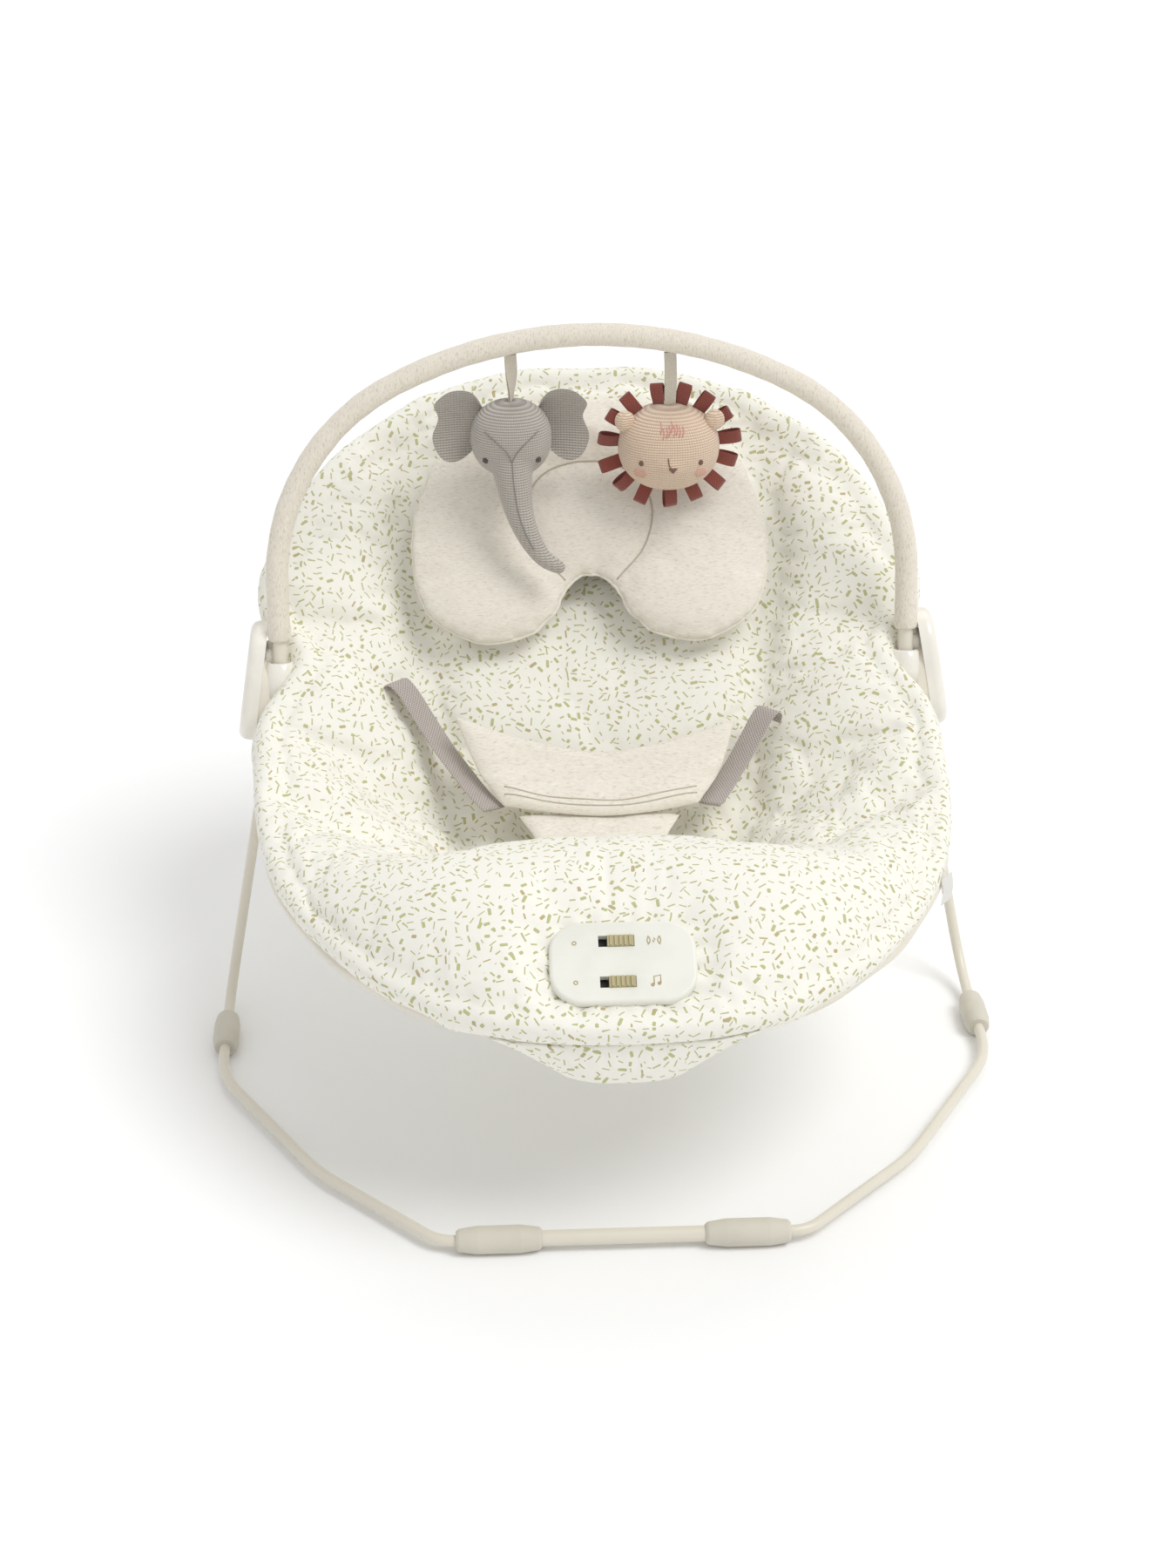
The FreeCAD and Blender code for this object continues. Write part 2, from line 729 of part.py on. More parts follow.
def pad_solid(grid, rows, columns):
    """A closed faceted solid from some rows and columns of the grid."""
    faces = []

    def triangle(a, b, c):
        faces.append(Part.Face(Part.makePolygon([a, b, c, a])))

    def quad(a, b, c, d):
        triangle(a, b, c)
        triangle(a, c, d)

    first_row, last_row = rows
    first_column, last_column = columns
    for i in range(first_row, last_row):
        for j in range(first_column, last_column):
            for layer in (0, 1):
                corners = [grid[i][j], grid[i][j + 1], grid[i + 1][j + 1], grid[i + 1][j]]
                if j >= len(grid[i]) // 2:
                    corners = [grid[i][j + 1], grid[i + 1][j + 1], grid[i + 1][j], grid[i][j]]
                quad(*[corner[layer] for corner in corners])
    rim = [(first_row, j) for j in range(first_column, last_column)]
    rim += [(i, last_column) for i in range(first_row, last_row)]
    rim += [(last_row, j) for j in range(last_column, first_column, -1)]
    rim += [(i, first_column) for i in range(last_row, first_row, -1)]
    for pair in zip(rim, rim[1:] + rim[:1]):
        (i, j), (k, l) = sorted(pair)
        quad(grid[i][j][0], grid[k][l][0], grid[k][l][1], grid[i][j][1])
    solid = Part.makeSolid(Part.makeShell(faces))
    if solid.Volume < 0:
        solid.reverse()
    return solid


def make_cover():
    """The padded cover as its sewn panels, which meet edge to edge."""
    grid = seat_grid()
    cushion = feature("front_cushion_blank", pad_solid(grid, (0, 4), (0, 4)))
    opening = control_block("cover_opening", dims.panel_width + dims.tube_clearance * 2,
                            dims.panel_length + dims.tube_clearance * 2, 100, 50)
    keep(cut("front_cushion", cushion, [opening]), "cover_front_cushion")
    keep(feature("cover_seat_panel", pad_solid(grid, (4, 7), (1, 3))), "cover_seat_panel")
    keep(feature("cover_back_panel", pad_solid(grid, (7, 12), (1, 3))), "cover_back_panel")
    for word, columns in (("left", (0, 1)), ("right", (3, 4))):
        keep(feature(f"cover_wing_{word}", pad_solid(grid, (4, 12), columns)), f"cover_wing_{word}")


def make_apron():
    """The front flap of cloth that hangs below the front tube and hides the control unit."""
    front = -6
    outline = [spot(-88, front, 170.8), spot(-38, front, 140), spot(38, front, 140), spot(88, front, 170.8)]
    flap = Part.Face(Part.makePolygon(outline + outline[:1])).extrude(Vector(0, 4, 0))
    keep(feature("cover_apron", flap), "cover_apron")


# ---------------------------------------------------------------- control unit


def control_point():
    return (size(0), dims.panel_y + dims.front_bar_y, dims.panel_z)


def control_rotation():
    """The control unit's own frame has its panel's top in the plane z = 0."""
    return Rotation(Vector(1, 0, 0), dims.panel_slope.value)


def control_piece(piece, name):
    return place(keep(piece, name), *control_point(), control_rotation())


def control_block(name, width, length, low, high):
    """A block with rounded corners in the control unit's frame, from low below the panel's top to high above it."""
    piece = body(name)
    outline = plane_sketch(piece, f"{name}_outline", "XY_Plane", -size(low))
    draw_box(outline, width, length)
    block = pad(piece, f"{name}_block", outline, size(low) + high)
    corner = dims.panel_corner - (dims.panel_width - width) / 2
    round_edges(piece, f"{name}_corners", block, corner, along(Vector(0, 0, 1)))
    return place(piece, *control_point(), control_rotation())


def make_housing():
    width = dims.panel_width - dims.housing_margin * 2
    length = dims.panel_length - dims.housing_margin * 2
    piece = control_block("control_housing", width, length, dims.housing_deep, -dims.panel_thick - NUDGE)
    inside = plane_sketch(piece, "housing_inside", "XY_Plane", -dims.panel_thick - NUDGE)
    wall = dims.housing_wall * 2
    draw_box(inside, width - wall, length - wall)
    pocket(piece, "housing_cavity", inside, dims.housing_deep - dims.panel_thick - dims.housing_wall - NUDGE)
    hatch = plane_sketch(piece, "housing_hatch", "XY_Plane", -dims.housing_deep)
    draw_box(hatch, door_width(), door_length(), dims.slot_offset_x * 4)
    pocket(piece, "housing_door_hole", hatch, dims.housing_wall * 2, reverse=True)
    keep(piece, "control_housing")


def door_width():
    return dims.cell_length - 2


def door_length():
    return dims.cell_dia * 3 - 8


def make_door():
    piece = body("battery_door")
    outline = plane_sketch(piece, "door_outline", "XY_Plane", -dims.housing_deep)
    draw_box(outline, door_width() - 0.4, door_length() - 0.4, dims.slot_offset_x * 4)
    pad(piece, "door_plate", outline, dims.housing_wall)
    control_piece(piece, "battery_door")
    screw = body("battery_door_screw")
    head = plane_sketch(screw, "door_screw_head", "XY_Plane", -dims.housing_deep - 1.2 - NUDGE)
    draw_circle(head, 3, dims.slot_offset_x * 4 + door_width() / 2 - 5)
    pad(screw, "door_screw_disc", head, 1.2)
    control_piece(screw, "battery_door_screw")


def slots():
    """(name, y) of each slider's slot on the panel."""
    return (("vibration", dims.slot_offset_y), ("music", -dims.slot_offset_y))


def slot_middle_x():
    return dims.slot_offset_x


def make_panel():
    piece = control_block("control_panel", dims.panel_width, dims.panel_length, dims.panel_thick, dims.panel_rise)
    top = dims.panel_rise.value
    round_edges(piece, "panel_edge", piece.Tip, dims.panel_rise, at_level(Vector(0, 0, 1), top))
    for name, y in slots():
        slot = plane_sketch(piece, f"panel_{name}_slot", "XY_Plane", dims.panel_rise)
        draw_box(slot, dims.slot_length, dims.slot_width, slot_middle_x(), y)
        pocket(piece, f"panel_{name}_opening", slot, dims.panel_rise + dims.panel_thick)
    for number, x in enumerate((-1, 1), start=1):
        hole = plane_sketch(piece, f"panel_screw_hole{number}", "XY_Plane", -dims.panel_thick)
        draw_circle(hole, 1.3, dims.panel_width * 0.36 * x)
        pocket(piece, f"panel_pilot{number}", hole, dims.panel_thick, reverse=True)
    keep(piece, "control_panel")


def make_sliders():
    """Two ribbed thumb sliders, shown switched on at the right-hand ends of their slots, and their switches."""
    x = slot_middle_x() + (dims.slot_length - dims.slider_length) / 2 - 0.4
    for name, y in slots():
        piece = body(f"{name}_slider")
        stem = plane_sketch(piece, f"{name}_stem", "XY_Plane", -dims.panel_thick - 1)
        draw_box(stem, dims.slider_length, dims.slider_width, x, y)
        pad(piece, f"{name}_block", stem, dims.panel_thick + 1 + dims.panel_rise + dims.slider_rise / 2)
        for rib in range(5):
            ridge = plane_sketch(piece, f"{name}_rib{rib}", "XY_Plane", dims.panel_rise + dims.slider_rise / 2 - NUDGE)
            draw_box(ridge, 1.5, dims.slider_width - 0.6, x + (rib - 2) * 3.2, y)
            pad(piece, f"{name}_ridge{rib}", ridge, dims.slider_rise / 2)
        control_piece(piece, f"{name}_slider")


def make_switches():
    """The two slide switches on the board, under the sliders, as one node."""
    cases = []
    for name, y in slots():
        switch = body(f"{name}_switch")
        case = plane_sketch(switch, f"{name}_case", "XY_Plane", -board_top())
        draw_box(case, dims.slot_length, dims.slot_width, slot_middle_x(), y)
        pad(switch, f"{name}_case_block", case, board_top() - dims.panel_thick - 1.3)
        cases.append(place(switch, *control_point(), control_rotation()))
    group("slide_switches", cases)


def board_top():
    return dims.panel_thick + 7


def make_electronics():
    board = body("circuit_board")
    outline = plane_sketch(board, "board_outline", "XY_Plane", -board_top() - dims.board_thick)
    draw_box(outline, dims.panel_width - 34, dims.panel_length - 16)
    pad(board, "board_plate", outline, dims.board_thick - NUDGE)
    control_piece(board, "circuit_board")
    cell_axis = dims.housing_deep - dims.housing_wall - dims.cell_dia / 2 - 0.3
    middle = dims.slot_offset_x * 4
    cells = []
    turn = control_rotation()
    origin = Vector(*[v.value for v in control_point()])
    for row in (-1, 0, 1):
        start = Vector(middle.value - dims.cell_length.value / 2, row * (dims.cell_dia.value + 0.4), -cell_axis.value)
        end = start + Vector(dims.cell_length.value, 0, 0)
        cells.append(rod(origin + turn.multVec(start), origin + turn.multVec(end), dims.cell_dia.value / 2))
    keep(feature("batteries", Part.makeCompound(cells)), "batteries")
    contacts = []
    for word, side in (("negative", -1), ("positive", 1)):
        contact = body(f"battery_contact_{word}")
        strip = plane_sketch(contact, f"{word}_strip", "XY_Plane", -cell_axis - 5)
        draw_box(strip, 0.6, dims.cell_dia * 2.8, middle + (dims.cell_length / 2 + 0.5) * side)
        pad(contact, f"{word}_plate", strip, 10)
        contacts.append(place(contact, *control_point(), control_rotation()))
    group("battery_contacts", contacts)
    motor_x = middle + dims.cell_length / 2 + 4
    motor_axis = dims.housing_deep - dims.housing_wall - dims.motor_dia / 2 - 0.3
    motor_y = -dims.panel_length / 4
    motor = body("vibration_motor")
    can = plane_sketch(motor, "motor_can", "YZ_Plane", motor_x)
    draw_circle(can, dims.motor_dia / 2, motor_y, -motor_axis)
    pad(motor, "motor_case", can, dims.motor_length)
    shaft = plane_sketch(motor, "motor_shaft", "YZ_Plane", motor_x + dims.motor_length)
    draw_circle(shaft, dims.shaft_dia / 2, motor_y, -motor_axis)
    pad(motor, "motor_shaft_rod", shaft, dims.weight_length + 1)
    control_piece(motor, "vibration_motor")
    weight = body("motor_weight")
    disc = plane_sketch(weight, "weight_disc", "YZ_Plane", motor_x + dims.motor_length + 0.6)
    draw_circle(disc, dims.weight_dia / 2, motor_y, -motor_axis)
    draw_circle(disc, dims.shaft_dia / 2 + NUDGE, motor_y, -motor_axis)
    pad(weight, "weight_disc_block", disc, dims.weight_length)
    half = plane_sketch(weight, "weight_half", "YZ_Plane", motor_x + dims.motor_length + 0.6)
    draw_box(half, dims.weight_dia * 2, dims.weight_dia, motor_y, dims.weight_dia / 2 + 2 - motor_axis)
    pocket(weight, "weight_cut", half, dims.weight_length, reverse=True)
    control_piece(weight, "motor_weight")
    speaker = body("speaker")
    cone = plane_sketch(speaker, "speaker_disc", "XY_Plane", -dims.housing_deep + dims.housing_wall + NUDGE)
    draw_circle(cone, dims.speaker_dia / 2 - 3, motor_x + 12, dims.panel_length / 4 - 4)
    pad(speaker, "speaker_can", cone, dims.speaker_deep)
    control_piece(speaker, "speaker")


# ---------------------------------------------------------------- pillow and harness


def slab(name, points, thick):
    """A soft piece: the closed outline through points, pushed out by thick along its own normal."""
    face = Part.Face(Part.makePolygon(points + points[:1]))
    normal = face.normalAt(0, 0)
    if normal.z < 0:
        normal = -normal
    return keep(feature(name, face.extrude(normal * thick)), name)


def back_surface(x, rise, over):
    """A point above the back pad: rise up the slope from the hubs, over measured square to it."""
    lean = math.radians(dims.back_plane_angle.value)
    return spot(x, 430 + rise * math.cos(lean), 236 + rise * math.sin(lean)) + (
        Vector(0, -math.sin(lean), math.cos(lean)) * over)


def make_pillow():
    """The butterfly head pillow and its inner pad."""
    over = 27
    outline = []
    for x, rise in ((0, 66), (22, 60), (44, 20), (88, 12), (126, 36), (138, 90), (118, 158), (66, 200), (0, 208)):
        outline.append((x, rise))
    right = [back_surface(x, rise, over) for x, rise in outline]
    left = [back_surface(-x, rise, over) for x, rise in reversed(outline[1:-1])]
    slab("head_pillow", right + left, 22)
    inner = ((0, 78), (36, 84), (50, 116), (38, 144), (0, 152))
    right = [back_surface(x, rise, over + 22.3) for x, rise in inner]
    left = [back_surface(-x, rise, over + 22.3) for x, rise in reversed(inner[1:-1])]
    slab("pillow_inner_pad", right + left, 6)


def make_harness():
    slope = 0.4

    def on_pad(x, y):
        return spot(x, y, 177.2 + slope * (y - 262))

    slab("harness_pad", [
        on_pad(-92, 318), on_pad(92, 318), on_pad(70, 262), on_pad(38, 232), on_pad(-38, 232), on_pad(-70, 262),
    ], 7)
    slab("crotch_strap", [
        spot(-18, 250, 149.5), spot(18, 250, 149.5), spot(18, 214, 175.2), spot(-18, 214, 175.2),
    ], dims.webbing_thick.value)
    for word, side in SIDES.items():
        points = mirrored([
            spot(92.4, 296, 187.2), spot(92.4, 318, 203), spot(147, 398, 236.8), spot(147, 376, 221),
        ], side)
        slab(f"waist_strap_{word}", points if side > 0 else points[::-1], dims.webbing_thick.value)
        clip = mirrored([
            spot(14, 272, 150), spot(44, 272, 150), spot(44, 294, 150), spot(14, 294, 150),
        ], side)
        slab(f"buckle_half_{word}", clip if side > 0 else clip[::-1], 6)
    tag = [spot(235.5, 150, 198), spot(237.5, 164, 199), spot(237.5, 164, 177), spot(235.5, 150, 176)]
    face = Part.Face(Part.makePolygon(tag + tag[:1]))
    keep(feature("cloth_tag", face.extrude(Vector(0.8, 0, 0))), "cloth_tag")


# ---------------------------------------------------------------- toy bar and toys


def arc_through(middle, radius, start, end):
    """A circular arc in the toy bar's plane, by its centre (x, rise) and its angles from the X axis."""

    def at(angle):
        turn = math.radians(angle)
        return bar_point(middle[0] + radius * math.cos(turn), middle[1] + radius * math.sin(turn))
    return Part.Arc(at(start), at((start + end) / 2), at(end)).toShape()


def toy_bar_path(low):
    """The bar's centre line from low on the right, over the top and down to low on the left."""
    half = dims.toy_bar_half_width.value
    straight = dims.toy_bar_stub.value + dims.toy_bar_straight.value
    turn = 90 - dims.toy_bar_top_half_angle.value
    shoulder = shoulder_centre()
    top = (0, top_centre_rise())
    radius = dims.toy_bar_shoulder_radius.value
    edges = [
        Part.LineSegment(bar_point(half, low), bar_point(half, straight)).toShape(),
        arc_through(shoulder, radius, 0, turn),
        arc_through(top, top_radius(), turn, 180 - turn),
        arc_through((-shoulder[0], shoulder[1]), radius, 180 - turn, 180),
        Part.LineSegment(bar_point(-half, straight), bar_point(-half, low)).toShape(),
    ]
    return Part.Wire(edges)


def shoulder_centre():
    """(x, rise) of the right-hand shoulder arc's centre."""
    x = dims.toy_bar_half_width.value - dims.toy_bar_shoulder_radius.value
    return (x, dims.toy_bar_stub.value + dims.toy_bar_straight.value)


def top_radius():
    """The top arc's radius: it leaves the shoulder arc tangentially and is centred on the middle plane."""
    turn = math.radians(dims.toy_bar_top_half_angle.value)
    return dims.toy_bar_shoulder_radius.value + shoulder_centre()[0] / math.sin(turn)


def top_centre_rise():
    turn = math.radians(dims.toy_bar_top_half_angle.value)
    return shoulder_centre()[1] - shoulder_centre()[0] / math.tan(turn)


def bar_height_at(x):
    """The rise of the bar's centre line at x, on its top arc."""
    return top_centre_rise() + math.sqrt(top_radius() ** 2 - x ** 2)


def make_toy_bar():
    path = toy_bar_path(-dims.toy_bar_depth.value + 0.1)
    outer = swept(path, dims.toy_bar_dia.value / 2)
    inner = swept(path, dims.toy_bar_bore.value / 2)
    keep(feature("toy_bar_tube", outer.cut(inner)), "toy_bar_tube")
    path = toy_bar_path(dims.toy_bar_stub.value)
    sleeve = swept(path, dims.padding_dia.value / 2).cut(
        swept(path, dims.toy_bar_dia.value / 2 + dims.padding_gap.value))
    keep(feature("toy_bar_padding", sleeve), "toy_bar_padding")


def toy_hang(side):
    """The middle of the bar where a toy's ribbon goes round it."""
    return bar_point(dims.toy_spread.value * side, bar_height_at(dims.toy_spread.value))


def ribbon(name, side, length):
    """A ribbon loop round the padded bar, and its run down to the toy."""
    middle = toy_hang(side)
    width = dims.ribbon_width.value
    inner = dims.padding_dia.value / 2 + 0.5
    outer = inner + dims.ribbon_thick.value
    reach = dims.toy_spread.value + 1
    way = (bar_point(reach * side, bar_height_at(reach)) - middle).normalize()
    start = middle - way * (width / 2)
    loop = Part.makeCylinder(outer, width, start, way).cut(Part.makeCylinder(inner, width, start, way))
    thick = dims.ribbon_thick.value
    slack = 1.2
    low = middle + Vector(-width / 2, -thick / 2, -inner - length - thick)
    drop = Part.makeBox(width, thick, length + thick - slack, low)
    keep(feature(name, loop.fuse(drop)), name)
    return middle - Vector(0, 0, inner + length + thick)


def ball(centre, width, depth, height):
    """An ellipsoid about centre."""
    matrix = FreeCAD.Matrix()
    matrix.scale(width / 2, depth / 2, height / 2)
    matrix.move(centre)
    return Part.makeSphere(1).transformGeometry(matrix)


def make_elephant():
    below = ribbon("elephant_strap", -1, dims.elephant_strap.value)
    width = dims.elephant_head_width.value
    depth = dims.elephant_head_depth.value
    height = dims.elephant_head_height.value
    middle = below - Vector(0, 0, height / 2 + 0.3)
    head = ball(middle, width, depth, height)
    path = [middle + Vector(*p) for p in ((0, -8, -8), (4, -26, -46), (16, -38, -74), (34, -46, -88))]
    sections = []
    for point, radius in zip(path, (16, 11.5, 8, 5.5)):
        sections.append(Part.Wire([Part.Circle(point, Vector(0.25, -0.45, -0.86), radius).toShape()]))
    trunk = Part.makeLoft(sections, True, True)
    keep(feature("elephant_head", head.fuse(trunk)), "elephant_head")
    ears = []
    for side in SIDES.values():
        points = [middle + Vector(x * side, 8, z) for x, z in (
            (22, 10), (34, 26), (57, 18), (58, -14), (40, -28), (22, -14))]
        face = Part.Face(Part.makePolygon(points + points[:1]))
        ears.append(face.extrude(Vector(0, 5, 0)).cut(ball(middle, width + 0.6, depth + 0.6, height + 0.6)))
    keep(feature("elephant_ears", Part.makeCompound(ears)), "elephant_ears")


def make_lion():
    below = ribbon("lion_strap", 1, dims.lion_strap.value)
    width = dims.lion_width.value
    depth = dims.lion_depth.value
    height = dims.lion_height.value
    middle = below - Vector(0, 0, height / 2 + 0.3)
    keep(feature("lion_head", ball(middle, width, depth, height)), "lion_head")
    loops = []
    count = dims.mane_loops.value
    for number in range(int(count)):
        turn = math.radians(90 + 180 / count + 360 * number / count)
        reach = 1 / math.hypot(math.cos(turn) / (width / 2), math.sin(turn) / (height / 2))
        inner_edge = reach + 0.3
        strip = Part.makeBox(dims.mane_length.value, 4, dims.mane_width.value,
                             Vector(inner_edge, 1.5, -dims.mane_width.value / 2))
        strip.rotate(Vector(0, 0, 0), Vector(0, 1, 0), -math.degrees(turn))
        strip.translate(middle)
        loops.append(strip)
    keep(feature("lion_mane", Part.makeCompound(loops)), "lion_mane")
    ears = []
    for side in SIDES.values():
        ears.append(ball(middle + Vector(36.8 * side, -6, 22), 11, 8, 12))
    keep(feature("lion_ears", Part.makeCompound(ears)), "lion_ears")


# ---------------------------------------------------------------- build and write


def build():
    make_base()
    make_seat_tubes()
    for word, side in SIDES.items():
        make_hub(word, side)
    make_hub_screws()
    make_cover()
    make_apron()
    make_housing()
    make_door()
    make_panel()
    make_sliders()
    make_switches()
    make_electronics()
    make_pillow()
    make_harness()
    make_toy_bar()
    make_elephant()
    make_lion()
    doc.recompute()


def check():
    """Stops before anything is written if an object failed or a piece has no sound shape."""
    for obj in doc.Objects:
        if "Invalid" in obj.State or "Error" in obj.State:
            raise ValueError(f"{obj.Label}: {obj.State}")
    for piece in nodes:
        if piece.Shape.isNull() or not piece.Shape.isValid():
            raise ValueError(f"{piece.Label}: its shape is missing or unsound")


def write():
    os.makedirs("parts", exist_ok=True)
    for piece in nodes:
        piece.Shape.exportStep(os.path.join("parts", f"{piece.Label}.step"))
    whole = FreeCAD.BoundBox()
    for piece in nodes:
        whole.add(piece.Shape.BoundBox)
    print(f"{len(nodes)} pieces, {whole}")


build()
check()
write()
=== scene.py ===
"""The looks of the bouncer seat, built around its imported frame."""

import math
import random

import bmesh
import bpy
import numpy as np
from mathutils import Matrix, Vector
from mathutils.bvhtree import BVHTree
from mathutils.kdtree import KDTree


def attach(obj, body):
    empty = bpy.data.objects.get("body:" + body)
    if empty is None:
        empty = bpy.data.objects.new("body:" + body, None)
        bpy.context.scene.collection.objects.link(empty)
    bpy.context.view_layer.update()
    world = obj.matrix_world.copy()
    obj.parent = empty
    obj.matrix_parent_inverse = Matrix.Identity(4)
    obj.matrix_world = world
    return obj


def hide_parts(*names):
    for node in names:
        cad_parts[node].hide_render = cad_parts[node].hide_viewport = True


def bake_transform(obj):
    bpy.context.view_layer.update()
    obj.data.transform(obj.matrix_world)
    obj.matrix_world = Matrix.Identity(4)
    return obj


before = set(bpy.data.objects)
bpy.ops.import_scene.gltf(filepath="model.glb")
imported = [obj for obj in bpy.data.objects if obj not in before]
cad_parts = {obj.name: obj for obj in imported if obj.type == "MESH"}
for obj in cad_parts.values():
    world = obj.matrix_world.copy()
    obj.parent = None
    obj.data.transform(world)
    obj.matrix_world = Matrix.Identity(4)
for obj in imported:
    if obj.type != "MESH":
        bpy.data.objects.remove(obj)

MM = 0.001
FRONT_BAR = -298.0           # the front bar's Y in the part's frame; rows below are measured from the bar
BACK_LEAN = math.radians(45)
BAR_LEAN = math.radians(16)
SIDES = {"left": -1, "right": 1}
BAR_HALF = 239.5             # from the middle to each stub of the toy bar
HANG_Y = 164                 # the row of the toys' hanging points
YARN_ROW = 0.0019            # metres from one row of stitches to the next
YARN_RADIUS = 0.034          # metres, the toys' heads where their columns are spaced

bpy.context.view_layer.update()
chance = random.Random(4)


# ---------------------------------------------------------------- places


def at(x, y, z):
    """A point in metres from millimetres measured from the front bar."""
    return Vector((x, y + FRONT_BAR, z)) * MM


def on_back(x, rise, over=0.0):
    """A point above the back pad: rise up its slope, over measured square to it."""
    return at(
        x,
        430 + rise * math.cos(BACK_LEAN) - over * math.sin(BACK_LEAN),
        236 + rise * math.sin(BACK_LEAN) + over * math.cos(BACK_LEAN),
    )


def on_bar(x, rise):
    """A point of the toy bar's leaning plane."""
    return at(x, 394 + rise * math.sin(BAR_LEAN), 252 + rise * math.cos(BAR_LEAN))


def eased(t):
    t = np.clip(t, 0, 1)
    return t * t * (3 - 2 * t)


def through(points, count, closed=False):
    """count points along a smooth curve through the given points, in two or three dimensions."""
    p = np.array([list(q) for q in points], float)
    p = np.vstack([p[-1], p, p[0], p[1]] if closed else [2 * p[0] - p[1], p, 2 * p[-1] - p[-2]])
    spans = len(p) - 3
    t = np.linspace(0, spans, count, endpoint=not closed)
    i = np.minimum(t.astype(int), spans - 1)
    f = (t - i)[:, None]
    a, b, c, d = p[i], p[i + 1], p[i + 2], p[i + 3]
    return 0.5 * (2 * b + (c - a) * f + (2 * a - 5 * b + 4 * c - d) * f ** 2
                  + (3 * b - a - 3 * c + d) * f ** 3)


def gap_to(points, others):
    """How far each point is from the nearest of the others."""
    return np.min(np.linalg.norm(points[:, None, :] - others[None, :, :], axis=2), axis=1)


# ---------------------------------------------------------------- materials


def srgb(*colour):
    """The linear colour of an 8-bit screen colour."""
    parts = [v / 255 for v in colour]
    return tuple(v / 12.92 if v < 0.0405 else ((v + 0.055) / 1.055) ** 2.4 for v in parts) + (1.0,)


class Signal:
    """A number on its way through a finish; arithmetic on it adds the nodes that work it out."""

    def __init__(self, finish, node, output):
        self.finish = finish
        self.node = node
        self.socket = node.outputs[output]

    def of(self, output):
        return Signal(self.finish, self.node, output)

    def maths(self, operation, *others):
        sockets = dict(enumerate((self, *others)))
        return self.finish.node("ShaderNodeMath", {"operation": operation}, sockets)

    def __add__(self, other):
        return self.maths("ADD", other)

    __radd__ = __add__

    def __sub__(self, other):
        return self.maths("SUBTRACT", other)

    def __rsub__(self, other):
        return self * -1 + other

    def __mul__(self, other):
        return self.maths("MULTIPLY", other)

    __rmul__ = __mul__

    def __lt__(self, other):
        return self.maths("LESS_THAN", other)

    def __gt__(self, other):
        return self.maths("GREATER_THAN", other)

    def wave(self):
        return self.maths("SINE")

    def size(self):
        return self.maths("ABSOLUTE")


class Finish:
    """A material with one main shader."""

    def __init__(self, name, colour, roughness, **shader):
        self.material = bpy.data.materials.new(name)
        self.material.use_nodes = True
        self.tree = self.material.node_tree
        self.tree.nodes.clear()
        self.shader = self.tree.nodes.new("ShaderNodeBsdfPrincipled")
        output = self.tree.nodes.new("ShaderNodeOutputMaterial")
        self.tree.links.new(self.shader.outputs[0], output.inputs["Surface"])
        self.colour = colour
        self.set("Base Color", colour)
        self.set("Roughness", roughness)
        for socket, value in shader.items():
            self.set(socket.replace("_", " "), value)

    def node(self, kind, settings=None, sockets=None, output=0):
        """A new node: its settings first, then the values or links of its sockets."""
        made = self.tree.nodes.new(kind)
        for name, value in (settings or {}).items():
            setattr(made, name, value)
        for name, value in (sockets or {}).items():
            self.feed(made.inputs[name], value)
        return Signal(self, made, output)

    def feed(self, socket, value):
        if isinstance(value, Signal):
            self.tree.links.new(value.socket, socket)
        else:
            socket.default_value = value

    def set(self, socket, value):
        self.feed(self.shader.inputs[socket], value)

    def place(self, output="Object"):
        return self.node("ShaderNodeTexCoord", output=output)

    def axes(self, place):
        """The three numbers of a place."""
        split = self.node("ShaderNodeSeparateXYZ", sockets={0: place})
        return split, split.of(1), split.of(2)

    def vectors(self, operation, a, b, output=0):
        return self.node("ShaderNodeVectorMath", {"operation": operation}, {0: a, 1: b}, output)

    def noise(self, size, detail=3.0, place=None, rough=0.5, stretch=None):
        """Noise between 0 and 1 with features about size metres across."""
        place = place or self.place()
        if stretch:
            place = self.vectors("MULTIPLY", place, stretch)
        return self.node("ShaderNodeTexNoise", sockets={
            "Vector": place, "Scale": 1 / size, "Detail": detail, "Roughness": rough})

    def spread(self, signal, low, high):
        """0 below low, 1 above high."""
        return self.node("ShaderNodeMapRange", {"interpolation_type": "SMOOTHSTEP"}, {
            "Value": signal, "From Min": low, "From Max": high})

    def mix(self, factor, a, b):
        return self.node("ShaderNodeMix", {"data_type": "RGBA"}, {0: factor, 6: a, 7: b}, 2)

    def bump(self, height, depth, strength=1.0, over=None):
        """Raises the surface by height (0 to 1) times depth metres."""
        sockets = {"Height": height, "Distance": depth, "Strength": strength}
        if over:
            sockets["Normal"] = over
        made = self.node("ShaderNodeBump", sockets=sockets)
        self.set("Normal", made)
        return made


def moulded(name, colour, roughness, grain=0.00045, depth=0.00002, **shader):
    """Moulded plastic or rubber: a fine spark-eroded grain, uneven gloss and faint handling marks."""
    made = Finish(name, srgb(*colour), roughness, **shader)
    fine = made.noise(grain, 2)
    broad = made.noise(0.03, 3)
    made.set("Roughness", roughness - 0.05 + 0.1 * broad)
    dark = srgb(*[v * 0.965 for v in colour])
    made.set("Base Color", made.mix(made.spread(broad, 0.35, 0.75), made.colour, dark))
    made.bump(fine, depth)
    return made


